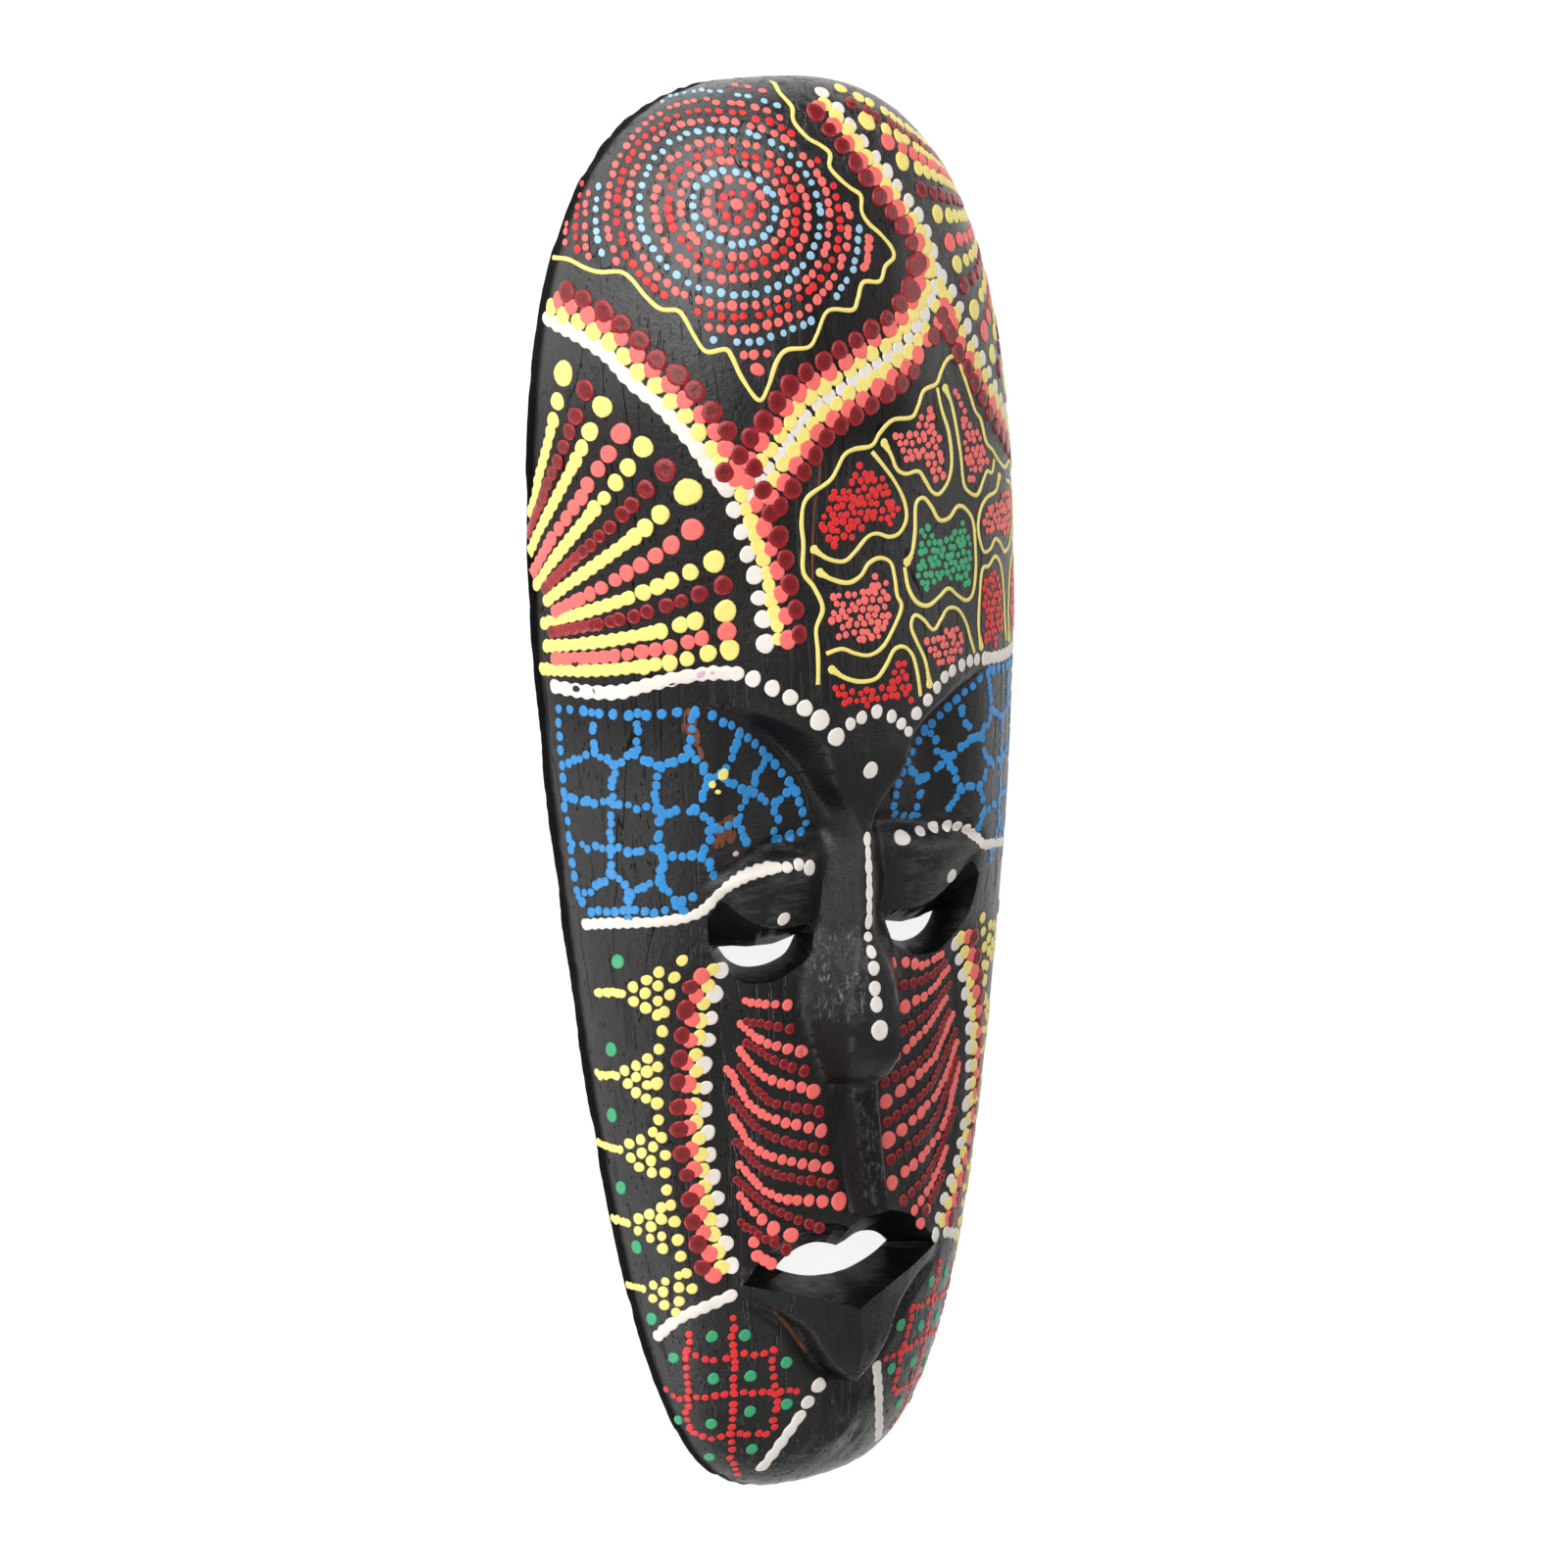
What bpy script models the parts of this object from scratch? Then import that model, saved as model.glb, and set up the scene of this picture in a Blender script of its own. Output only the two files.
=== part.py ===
"""A carved wooden face mask, hollow behind, lying on its back rim.

The mask is one piece of wood. Its long axis lies along Y with the crown at +Y, the face looks up along +Z,
and the back rim is flat on Z = 0. The values below are in millimetres and the object is in metres. The
carving is drawn on a mask of the drawn size. It is scaled to the real height, width and depth, so it keeps
its place when they change.
"""

import math

import bpy
import numpy as np

# One millimetre in metres
MM = 0.001

# Overall sizes
HEIGHT = 500.0
HALF_WIDTH = 93.5
DEPTH = 62.8
RIM_WIDTH = 12.0
WALL = 20.0
LEAST_WALL = 3.0

# Shape of the log: how far above the middle it is widest and deepest, as shares of half the height
WIDEST_SHARE = 0.264
DEEPEST_SHARE = 0.456
# Each pair is the power and the root of a rounded end: 1 - t ** power, then the root of that
CROWN_OUTLINE_POWERS = (2.91, 2.60)
CHIN_OUTLINE_POWERS = (1.21, 3.60)
CROWN_PROFILE_POWERS = (1.90, 5.84)
CHIN_PROFILE_POWERS = (2.01, 2.53)
# Power and root of the cross-section, and how much the power grows from the middle to the crown
SECTION_POWERS = (2.20, 2.05)
SECTION_POWER_GAIN = 0.29
# Shares of the half width and of the half height over which the carving dies out at the edge
CARVING_FADE_SHARES = (0.08, 0.01)

# The size that the carving is drawn at
DRAWN_HEIGHT = 500.0
DRAWN_HALF_WIDTH = 93.5
DRAWN_DEPTH = 62.8

# Raised strip of the nose and the bar under it: height along the face, half width of its top and of its foot
STRIP_EDGE = [
    (-141, 5), (-92, 5), (-87, 8), (-82, 9), (-70, 9.5), (-55, 8), (-44, 4.5), (-33, 2), (-2, 1.5), (8, 6),
    (17, 13), (29, 16.5),
]
STRIP_FOOT = [
    (-141, 9), (-92, 9), (-89, 13), (-84, 14.5), (-66, 18.5), (-55, 19.5), (-49, 18.5), (-40, 15.5),
    (-33, 13), (-19, 12.5), (-9, 10.5), (0, 10.6), (6, 12), (13, 16), (21, 20.5), (29, 25),
]
# Height along the face, how far the strip stands out of the log
STRIP_LEVEL = [
    (-141, 1), (-92, 1), (-88, 5), (-79, 8.5), (-74, 8.6), (-60, 6.5), (-46, 4.5), (-37, 1), (-30, 2),
    (-19, 2), (-2, 0.5), (10, 0), (29, 0),
]
STRIP_END = -141.0
# How much of the flank of the strip is an S-curve, the rest being straight
FLANK_SOFT_SHARE = 0.3
# Wall under each brow: distance from the middle, height of its upper edge and of its foot
BROW_EDGE = [(8, 27), (16, 30), (22.5, 35.5), (33, 41), (46.5, 47), (57, 50)]
BROW_FOOT = [(8, 10), (16, 16), (20.5, 21), (27, 28.5), (35, 35.5), (44, 40), (52, 43), (57, 44)]
FOREHEAD_SWELL = 4.3
FOREHEAD_SWELL_Y = (2.0, 28.0)
FOREHEAD_FADE_Y = (105.0, 50.0)
FOREHEAD_FADE_X = (58.0, 22.0)

# Sunken panels beside the strip, above and below the eyes
BROW_PANEL_DEPTH = 9.0
BROW_PANEL_REACH = (24.0, 58.0)
CHEEK_DEPTH = 8.0
# Shares of the half width between which the sunken cheek rises to the edge
CHEEK_REACH_SHARES = (0.52, 0.98)
CHEEK_TOP = (-18.0, -62.0)
CHEEK_BOTTOM = (-122.0, -178.0)

# Eyelids: distance from the middle, then the height along the face or the level
LID_CREASE = [(12, -1), (20, -1.5), (31, -4), (40, -7), (50, -11), (60, -15)]
LID_EDGE = [(12, -32), (22, -33), (30, -32.5), (38, -29.5), (45, -24.5), (50, -20.5), (60, -16)]
LID_TOP_LEVEL = [(12, -7), (22, -3), (32, -1.5), (45, -0.5), (56, 0)]
LID_EDGE_LEVEL = [(12, -10.5), (25, -7.5), (40, -5), (56, 0)]
# Shares of the way from the edge to the crease: the facet, the roll over it and the underside
LID_FACET_SHARES = (-0.15, 0.62)
LID_ROLL_SHARES = (0.70, 1.0)
LID_UNDERSIDE_SHARES = (0.0, -0.5)
LID_GROOVE = 1.6
LID_GROOVE_WIDTH = 2.6
LID_REACH = (52.0, 60.0)

# Eye sockets: the rim under the lid and on the cheek side, and the slit that goes right through
SOCKET_TOP = [
    (14.5, -37), (16.5, -33.5), (22, -33), (30, -32.5), (38, -29.5), (45, -24.5), (50, -20.5), (55, -26),
]
SOCKET_RIM = [
    (14.5, -37), (16.5, -43.5), (22, -48), (29, -51.5), (36, -52), (44, -49), (50, -43), (53.5, -36),
    (55, -26),
]
EYE_TOP = [(16, -37.5), (22, -39.3), (28, -40.3), (34, -40.4), (40, -39.6), (44.5, -39.5)]
EYE_BOTTOM = [(16, -37.5), (19.5, -43.5), (25, -47), (31, -48), (37, -47), (42, -43.5), (44.5, -39.5)]

# Mouth: the edge of the pocket, with the bow of the upper lip, and the hole at the bottom of it
MOUTH_TOP = [(0, -145.3), (6, -142.6), (13, -141.8), (23, -144.5), (31, -149.3), (40.5, -160)]
MOUTH_EDGE = [(0, -174), (13, -168.5), (29, -163.5), (40.5, -160)]
MOUTH_HOLE_TOP = [(0, -154.3), (5, -152.3), (10, -151.2), (16, -152.4), (21, -155.5), (24, -158.5)]
MOUTH_HOLE_BOTTOM = [(0, -165.5), (10, -164.3), (19, -161.2), (24, -158.5)]

# Lower lip: a wedge with a ridge down its middle, height along the face and half width
LIP_HALF_WIDTH = [
    (-204, 0.5), (-197, 9), (-186, 17), (-180, 20), (-174, 26), (-168, 34), (-163, 41), (-160, 44),
]
LIP_INSIDE = (7.0, 1.0)
LIP_LEVEL = [(-204, 6.5), (-190, 8), (-174, 4.5)]
LIP_RIDGE_SLOPE = 0.14
LIP_SIDE = 3.0
LIP_GROOVE = 2.2
LIP_GROOVE_WIDTH = 8.0
LIP_GROOVE_FROM = (-212.0, -200.0)
LIP_GROOVE_TO = (-164.0, -174.0)
CHIN_KNOB = 2.5
CHIN_KNOB_Y = -222.0
CHIN_KNOB_SPREAD = 13.0

# Mesh before it is thinned out, and the triangles left after that
ROWS = 460
ROW_BUNCHING = 0.6
FRONT_COLUMNS = 300
BACK_COLUMNS = 60
TRIANGLES = 8000
POCKET_STEPS = 14
# How far a cutter reaches past the wood, as a share of the depth
CUTTER_SPARE_SHARE = 0.4
SHARP_ANGLE = 38.0

# Finish
PAINT_BLACK = (0.012, 0.012, 0.013, 1.0)
PAINT_ROUGHNESS = 0.38


def clear_scene():
    for item in list(bpy.data.objects):
        bpy.data.objects.remove(item, do_unlink=True)


def ramp(value, start, end):
    """Return 0 before start and 1 past end, with a soft change between them."""
    share = np.clip((value - start) / (end - start), 0.0, 1.0)
    return share * share * (3.0 - 2.0 * share)


def soft_curve(points, place):
    """Read a smooth curve, with no overshoot, through points of (place, value)."""
    at, value = np.array(sorted(points), dtype=float).T
    rise = np.diff(value) / np.diff(at)
    slope = np.concatenate([rise[:1], 0.5 * (rise[:-1] + rise[1:]), rise[-1:]])
    turning = rise[:-1] * rise[1:] <= 0.0
    slope[1:-1][turning] = 0.0
    least = np.minimum(np.abs(rise[:-1]), np.abs(rise[1:]))
    # A cubic that is steeper at its ends than three times its mean rise would overshoot
    slope[1:-1] = np.clip(slope[1:-1], -3.0 * least, 3.0 * least)
    place = np.clip(place, at[0], at[-1])
    left = np.clip(np.searchsorted(at, place) - 1, 0, len(at) - 2)
    step = at[left + 1] - at[left]
    t = (place - at[left]) / step
    start = (1.0 + 2.0 * t) * (1.0 - t) ** 2 * value[left] + t * (1.0 - t) ** 2 * step * slope[left]
    end = t * t * (3.0 - 2.0 * t) * value[left + 1] + t * t * (t - 1.0) * step * slope[left + 1]
    return start + end


def rounded_end(share, peak, above, below):
    """Profile along the log, 1 at its peak and 0 at both ends; share is -1 at the chin and 1 at the crown."""
    upper = np.clip((share - peak) / (1.0 - peak), 0.0, 1.0)
    lower = np.clip((peak - share) / (1.0 + peak), 0.0, 1.0)
    toward_crown = (1.0 - upper ** above[0]) ** (1.0 / above[1])
    toward_chin = (1.0 - lower ** below[0]) ** (1.0 / below[1])
    return np.where(share > peak, toward_crown, toward_chin)


def outline(share):
    return rounded_end(share, WIDEST_SHARE, CROWN_OUTLINE_POWERS, CHIN_OUTLINE_POWERS)


def crest(share):
    return rounded_end(share, DEEPEST_SHARE, CROWN_PROFILE_POWERS, CHIN_PROFILE_POWERS)


def arch(across, share):
    """Height of the cross-section, 1 at the middle and 0 at the edge; across runs from -1 to 1."""
    power = SECTION_POWERS[0] + SECTION_POWER_GAIN * share
    return (1.0 - np.clip(np.abs(across), 0.0, 1.0) ** power) ** (1.0 / SECTION_POWERS[1])


def cheek_level(x, y, across):
    """Level of the sunken brow panels and cheeks, from the log."""
    brow = -BROW_PANEL_DEPTH * (1.0 - ramp(x, *BROW_PANEL_REACH))
    cheek = -CHEEK_DEPTH * (1.0 - ramp(across, *CHEEK_REACH_SHARES)) * (1.0 - ramp(y, *CHEEK_BOTTOM))
    return brow + (cheek - brow) * ramp(y, *CHEEK_TOP)


def lid_level(x, y, level):
    """Model the eyelid: a roll under the crease, then a facet that slopes in towards the socket."""
    edge = soft_curve(LID_EDGE, x)
    crease = soft_curve(LID_CREASE, x)
    beside = 1.0 - ramp(x, *LID_REACH)
    rise = (y - edge) / (crease - edge)
    low = soft_curve(LID_EDGE_LEVEL, x)
    lid = low + (soft_curve(LID_TOP_LEVEL, x) - low) * ramp(rise, *LID_FACET_SHARES)
    lid = lid + (level - lid) * ramp(rise, *LID_ROLL_SHARES)
    under = low + (level - low) * ramp(rise, *LID_UNDERSIDE_SHARES)
    lid = np.where(rise < 0.0, under, lid)
    groove = LID_GROOVE * np.exp(-((y - crease) / LID_GROOVE_WIDTH) ** 2)
    return level + (lid - level - groove) * beside


def strip_level(x, y, level):
    """Raise the forehead, the nose and the bar under it above the level on either side."""
    swell = ramp(y, *FOREHEAD_SWELL_Y) * ramp(y, *FOREHEAD_FADE_Y) * ramp(x, *FOREHEAD_FADE_X)
    top = FOREHEAD_SWELL * swell + soft_curve(STRIP_LEVEL, y)
    edge = soft_curve(STRIP_EDGE, y)
    beside_nose = np.clip((x - edge) / (soft_curve(STRIP_FOOT, y) - edge), 0.0, 1.0)
    edge = soft_curve(BROW_EDGE, x)
    under_brow = np.clip((edge - y) / (edge - soft_curve(BROW_FOOT, x)), 0.0, 1.0)
    flank = np.minimum(beside_nose, under_brow)
    flank = flank + FLANK_SOFT_SHARE * (ramp(flank, 0.0, 1.0) - flank)
    return np.where(y > STRIP_END, top + (level - top) * flank, level)


def lip_level(x, y, level):
    """Raise the lower lip, with a groove around it."""
    side = soft_curve(LIP_HALF_WIDTH, y) - x
    within = np.where(y > LIP_HALF_WIDTH[0][0], ramp(y - soft_curve(MOUTH_EDGE, x), *LIP_INSIDE), 0.0)
    groove = ramp(side, -LIP_GROOVE_WIDTH, 0.0) * ramp(y, *LIP_GROOVE_FROM) * ramp(y, *LIP_GROOVE_TO)
    level = level - LIP_GROOVE * groove
    lip = soft_curve(LIP_LEVEL, y) - LIP_RIDGE_SLOPE * x
    return level + (lip - level) * ramp(side, 0.0, LIP_SIDE) * within


def carving(x, y, across):
    """How far the carved face stands out of the log at the drawn size; below zero it is cut in."""
    x = np.abs(x)
    level = cheek_level(x, y, np.abs(across))
    level = lid_level(x, y, level)
    level = strip_level(x, y, level)
    level = lip_level(x, y, level)
    knob = np.exp(-(x / CHIN_KNOB_SPREAD) ** 2 - ((y - CHIN_KNOB_Y) / CHIN_KNOB_SPREAD) ** 2)
    return level + CHIN_KNOB * knob


def front_height(x, y):
    """Height of the carved front over the point (x, y)."""
    share = np.clip(2.0 * y / HEIGHT, -1.0, 1.0)
    width = np.maximum(HALF_WIDTH * outline(share), 1e-6)
    across = np.clip(x / width, -1.0, 1.0)
    log = DEPTH * crest(share) * arch(across, share)
    relief = carving(x * DRAWN_HALF_WIDTH / HALF_WIDTH, y * DRAWN_HEIGHT / HEIGHT, across)
    fade = ramp(1.0 - np.abs(across), 0.0, CARVING_FADE_SHARES[0])
    fade = fade * ramp(1.0 - np.abs(share), 0.0, CARVING_FADE_SHARES[1])
    return np.maximum(log + relief * fade * DEPTH / DRAWN_DEPTH, 0.0)


def back_height(x, y):
    """Height of the hollow over the point (x, y), with the least wall left under the carving."""
    share = np.clip(y / (0.5 * HEIGHT - RIM_WIDTH), -1.0, 1.0)
    width = np.maximum((HALF_WIDTH - RIM_WIDTH) * outline(share), 1e-6)
    hollow = (DEPTH - WALL) * crest(share) * arch(x / width, share)
    return np.clip(np.minimum(hollow, front_height(x, y) - LEAST_WALL), 0.0, None)


def sheet(half_height, half_width, columns, height):
    """Points of one skin: rows from chin to crown, each from edge to edge, and a pole at each end."""
    even = np.linspace(-1.0, 1.0, ROWS + 1)[1:-1]
    share = (1.0 - ROW_BUNCHING) * even + ROW_BUNCHING * np.sin(0.5 * math.pi * even)
    across = np.sin(np.linspace(-0.5 * math.pi, 0.5 * math.pi, columns + 1))
    x = half_width * outline(share)[:, None] * across[None, :]
    y = np.repeat(half_height * share[:, None], columns + 1, axis=1)
    z = height(x, y)
    z[:, 0] = 0.0
    z[:, -1] = 0.0
    points = np.stack([x, y, z], axis=-1).reshape(-1, 3)
    poles = np.array([[0.0, -half_height, 0.0], [0.0, half_height, 0.0]])
    return np.concatenate([points, poles])


def sheet_faces(columns, start):
    """Faces of a skin whose points begin at start, facing up."""
    rows = ROWS - 1
    chin = start + rows * (columns + 1)
    crown = chin + 1
    faces = []
    for row in range(rows - 1):
        for column in range(columns):
            first = start + row * (columns + 1) + column
            above = first + columns + 1
            faces.append((first, first + 1, above + 1, above))
    last = start + (rows - 1) * (columns + 1)
    for column in range(columns):
        faces.append((chin, start + column + 1, start + column))
        faces.append((last + column, last + column + 1, crown))
    return faces


def sheet_edge(columns, start):
    """Numbers of the points around a skin, from the chin up the left side and down the right."""
    rows = ROWS - 1
    chin = start + rows * (columns + 1)
    left = [start + row * (columns + 1) for row in range(rows)]
    right = [point + columns for point in left]
    return [chin] + left + [chin + 1] + right[::-1]


def mask_mesh():
    """Carved front, hollow back and the flat rim between them, as one closed mesh."""
    front = sheet(0.5 * HEIGHT, HALF_WIDTH, FRONT_COLUMNS, front_height)
    back = sheet(0.5 * HEIGHT - RIM_WIDTH, HALF_WIDTH - RIM_WIDTH, BACK_COLUMNS, back_height)
    faces = sheet_faces(FRONT_COLUMNS, 0)
    faces += [face[::-1] for face in sheet_faces(BACK_COLUMNS, len(front))]
    outer = sheet_edge(FRONT_COLUMNS, 0)
    inner = sheet_edge(BACK_COLUMNS, len(front))
    for step, point in enumerate(outer):
        following = (step + 1) % len(outer)
        faces.append((point, outer[following], inner[following], inner[step]))
    mesh = bpy.data.meshes.new("mask")
    mesh.from_pydata((MM * np.concatenate([front, back])).tolist(), [], faces)
    mesh.validate()
    return mesh


def ring(inner, outer, upper, lower):
    """Points around an opening, anticlockwise from its inner corner; upper and lower are curves over x."""
    turn = np.linspace(0.0, math.pi, POCKET_STEPS + 1)
    x = inner + (outer - inner) * 0.5 * (1.0 - np.cos(turn))
    below = list(zip(x, soft_curve(lower, np.abs(x))))
    above = list(zip(x, soft_curve(upper, np.abs(x))))
    return np.array(below + above[-2:0:-1])


def pocket_cutter(name, rim, hole, side):
    """Closed cutter with its rim on the carved front, sloping in to a hole straight through the back.

    It is mirrored to the left when side is -1.
    """
    scale = np.array([HALF_WIDTH / DRAWN_HALF_WIDTH, HEIGHT / DRAWN_HEIGHT])
    rim = rim * scale
    hole = hole * scale
    on_front = front_height(rim[:, 0], rim[:, 1])
    on_web = back_height(hole[:, 0], hole[:, 1]) + LEAST_WALL
    rings = [
        np.column_stack([hole, np.full(len(hole), -CUTTER_SPARE_SHARE * DEPTH)]),
        np.column_stack([hole, on_web]),
        np.column_stack([rim, on_front]),
        np.column_stack([rim, np.full(len(rim), (1.0 + CUTTER_SPARE_SHARE) * DEPTH)]),
    ]
    points = MM * np.concatenate(rings) * np.array([side, 1.0, 1.0])
    count = len(rim)
    faces = [tuple(range(count))[::-1], tuple(range(3 * count, 4 * count))]
    for level in range(3):
        for step in range(count):
            low = level * count + step
            low_next = level * count + (step + 1) % count
            faces.append((low, low_next, low + count))
            faces.append((low_next, low_next + count, low + count))
    if side < 0:
        faces = [face[::-1] for face in faces]
    mesh = bpy.data.meshes.new(name)
    mesh.from_pydata(points.tolist(), [], faces)
    mesh.validate()
    cutter = bpy.data.objects.new(name, mesh)
    cutter.hide_render = True
    cutter.display_type = "WIRE"
    bpy.context.scene.collection.objects.link(cutter)
    return cutter


def eye_cutter(name, side):
    """Socket and slit of one eye; side is -1 for the left and 1 for the right, as the viewer sees them."""
    rim = ring(SOCKET_TOP[0][0], SOCKET_TOP[-1][0], SOCKET_TOP, SOCKET_RIM)
    slit = ring(EYE_TOP[0][0], EYE_TOP[-1][0], EYE_TOP, EYE_BOTTOM)
    return pocket_cutter(name, rim, slit, side)


def mouth_cutter(name):
    corner = MOUTH_TOP[-1][0]
    rim = ring(-corner, corner, MOUTH_TOP, MOUTH_EDGE)
    reach = MOUTH_HOLE_TOP[-1][0]
    hole = ring(-reach, reach, MOUTH_HOLE_TOP, MOUTH_HOLE_BOTTOM)
    return pocket_cutter(name, rim, hole, 1)


def black_wood():
    material = bpy.data.materials.new("black_painted_wood")
    material.use_nodes = True
    shader = material.node_tree.nodes["Principled BSDF"]
    shader.inputs["Base Color"].default_value = PAINT_BLACK
    shader.inputs["Roughness"].default_value = PAINT_ROUGHNESS
    shader.inputs["Metallic"].default_value = 0.0
    return material


def build_mask():
    mesh = mask_mesh()
    mask = bpy.data.objects.new("mask", mesh)
    bpy.context.scene.collection.objects.link(mask)
    mesh.materials.append(black_wood())
    thin = mask.modifiers.new("thin_out", "DECIMATE")
    thin.decimate_type = "COLLAPSE"
    thin.ratio = TRIANGLES / sum(len(face.vertices) - 2 for face in mesh.polygons)
    thin.use_symmetry = True
    thin.symmetry_axis = "X"
    cutters = [
        eye_cutter("left_eye_cutter", -1),
        eye_cutter("right_eye_cutter", 1),
        mouth_cutter("mouth_cutter"),
    ]
    for cutter in cutters:
        cut = mask.modifiers.new("cut_" + cutter.name, "BOOLEAN")
        cut.operation = "DIFFERENCE"
        cut.solver = "EXACT"
        cut.object = cutter
    mesh.shade_smooth()
    mesh.set_sharp_from_angle(angle=math.radians(SHARP_ANGLE))
    return mask


clear_scene()
build_mask()
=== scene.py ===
"""Looks of the carved and painted mask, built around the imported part.

Lengths are in millimetres, as in the part's source, and turn into metres when a mesh is made. The wood
repeats the part's shape with a finer mesh and the marks of hand work. The paint is drops and trails of real
height on it, drawn on the unrolled face: s is the length around the log from the middle, to the right, and y
is the height along the face from the middle, towards the crown.
"""

import itertools
import math

import bpy
import numpy as np
from mathutils import Matrix

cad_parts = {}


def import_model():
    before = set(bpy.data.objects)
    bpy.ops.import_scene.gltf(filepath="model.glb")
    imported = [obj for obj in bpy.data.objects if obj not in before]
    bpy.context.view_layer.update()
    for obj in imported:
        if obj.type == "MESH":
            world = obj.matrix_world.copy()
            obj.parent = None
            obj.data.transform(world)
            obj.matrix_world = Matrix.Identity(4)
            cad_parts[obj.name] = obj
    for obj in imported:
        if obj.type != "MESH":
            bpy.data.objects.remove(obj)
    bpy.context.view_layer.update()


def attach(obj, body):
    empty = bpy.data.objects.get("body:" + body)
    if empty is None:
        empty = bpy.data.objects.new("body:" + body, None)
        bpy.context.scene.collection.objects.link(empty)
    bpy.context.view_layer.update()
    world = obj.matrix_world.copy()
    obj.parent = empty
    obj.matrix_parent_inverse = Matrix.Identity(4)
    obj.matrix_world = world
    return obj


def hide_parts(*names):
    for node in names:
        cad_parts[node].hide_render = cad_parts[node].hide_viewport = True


MM = 0.001
RANDOM = np.random.default_rng(11)

# Sizes of the part
HEIGHT = 500.0
HALF_WIDTH = 93.5
DEPTH = 62.8
RIM_WIDTH = 12.0
WALL = 20.0
LEAST_WALL = 3.0
WIDEST_SHARE = 0.264
DEEPEST_SHARE = 0.456
CROWN_OUTLINE_POWERS = (2.91, 2.60)
CHIN_OUTLINE_POWERS = (1.21, 3.60)
CROWN_PROFILE_POWERS = (1.90, 5.84)
CHIN_PROFILE_POWERS = (2.01, 2.53)
SECTION_POWERS = (2.20, 2.05)
SECTION_POWER_GAIN = 0.29
CARVING_FADE_SHARES = (0.08, 0.01)

# The carving, as the part has it: places along x or y, then widths or levels
STRIP_EDGE = [
    (-141, 4.2), (-92, 5), (-87, 8), (-82, 9), (-70, 9.5), (-55, 8), (-44, 4.5), (-33, 2), (-2, 1.5), (8, 6),
    (17, 13), (29, 16.5),
]
STRIP_FOOT = [
    (-141, 7), (-92, 8), (-89, 11), (-84, 13), (-70, 18), (-64, 19.6), (-55, 19.5), (-49, 18.5), (-40, 15.5),
    (-33, 13), (-19, 12.5), (-9, 10.5), (0, 10.6), (6, 12), (13, 16), (21, 20.5), (29, 25),
]
STRIP_LEVEL = [
    (-141, 1), (-92, 1), (-88, 5), (-79, 8.5), (-74, 8.6), (-60, 6.5), (-46, 4.5), (-37, 1), (-30, 2),
    (-19, 2), (-2, 0.5), (10, 0), (29, 0),
]
STRIP_END = -141.0
FLANK_SOFT_SHARE = 0.1
BAR_LEAN = 8.0
BAR_LEAN_Y = (-90.0, -141.0)
LEAN_FADE_Y = (-190.0, -150.0)
LEAN_SPREAD = 20.0
BROW_EDGE = [(8, 27), (16, 30), (22.5, 35.5), (33, 41), (46.5, 47), (57, 50)]
BROW_FOOT = [(8, 10), (16, 16), (20.5, 21), (27, 28.5), (35, 35.5), (44, 40), (52, 43), (57, 44)]
FOREHEAD_SWELL = 4.3
FOREHEAD_SWELL_Y = (2.0, 28.0)
FOREHEAD_FADE_Y = (105.0, 50.0)
FOREHEAD_FADE_X = (58.0, 22.0)
BROW_PANEL_DEPTH = 9.0
BROW_PANEL_REACH = (24.0, 58.0)
CHEEK_DEPTH = 8.0
CHEEK_REACH_SHARES = (0.52, 0.98)
CHEEK_TOP = (-18.0, -62.0)
CHEEK_BOTTOM = (-122.0, -178.0)
LID_CREASE = [(12, -1), (20, -1.5), (31, -4), (40, -7), (50, -11), (60, -15)]
LID_EDGE = [(12, -32), (22, -33), (30, -32.5), (38, -29.5), (45, -24.5), (50, -20.5), (60, -16)]
LID_TOP_LEVEL = [(12, -7), (22, -3), (32, -1.5), (45, -0.5), (56, 0)]
LID_EDGE_LEVEL = [(12, -10.5), (25, -7.5), (40, -5), (56, 0)]
LID_FACET_SHARES = (-0.15, 0.62)
LID_ROLL_SHARES = (0.70, 1.0)
LID_UNDERSIDE_SHARES = (0.0, -0.5)
LID_GROOVE = 1.6
LID_GROOVE_WIDTH = 2.6
LID_REACH = (52.0, 60.0)
SOCKET_TOP = [
    (14.5, -37), (16.5, -33.5), (22, -33), (30, -32.5), (38, -29.5), (45, -24.5), (50, -20.5), (55, -26),
]
SOCKET_RIM = [
    (14.5, -37), (16.5, -43.5), (22, -48), (29, -51.5), (36, -52), (44, -49), (50, -43), (53.5, -36),
    (55, -26),
]
EYE_TOP = [(16, -37.5), (22, -39.3), (28, -40.3), (34, -40.4), (40, -39.6), (44.5, -39.5)]
EYE_BOTTOM = [(16, -37.5), (19.5, -43.5), (25, -47), (31, -48), (37, -47), (42, -43.5), (44.5, -39.5)]
MOUTH_TOP = [(0, -145.3), (6, -142.6), (13, -141.8), (23, -144.5), (31, -149.3), (40.5, -160)]
MOUTH_EDGE = [(0, -174), (13, -168.5), (29, -163.5), (40.5, -160)]
MOUTH_HOLE_TOP = [(0, -154.3), (5, -152.3), (10, -151.2), (16, -152.4), (21, -155.5), (24, -158.5)]
MOUTH_HOLE_BOTTOM = [(0, -165.5), (10, -164.3), (19, -161.2), (24, -158.5)]
LIP_HALF_WIDTH = [
    (-204, 0.5), (-197, 9), (-186, 17), (-180, 20), (-174, 26), (-168, 34), (-163, 41), (-160, 44),
]
LIP_INSIDE = (7.0, 1.0)
LIP_LEVEL = [(-204, 6.5), (-190, 8), (-174, 4.5)]
LIP_RIDGE_SLOPE = 0.14
LIP_SIDE = 3.0
LIP_GROOVE = 2.2
LIP_GROOVE_WIDTH = 8.0
LIP_GROOVE_FROM = (-212.0, -200.0)
LIP_GROOVE_TO = (-164.0, -174.0)
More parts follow.
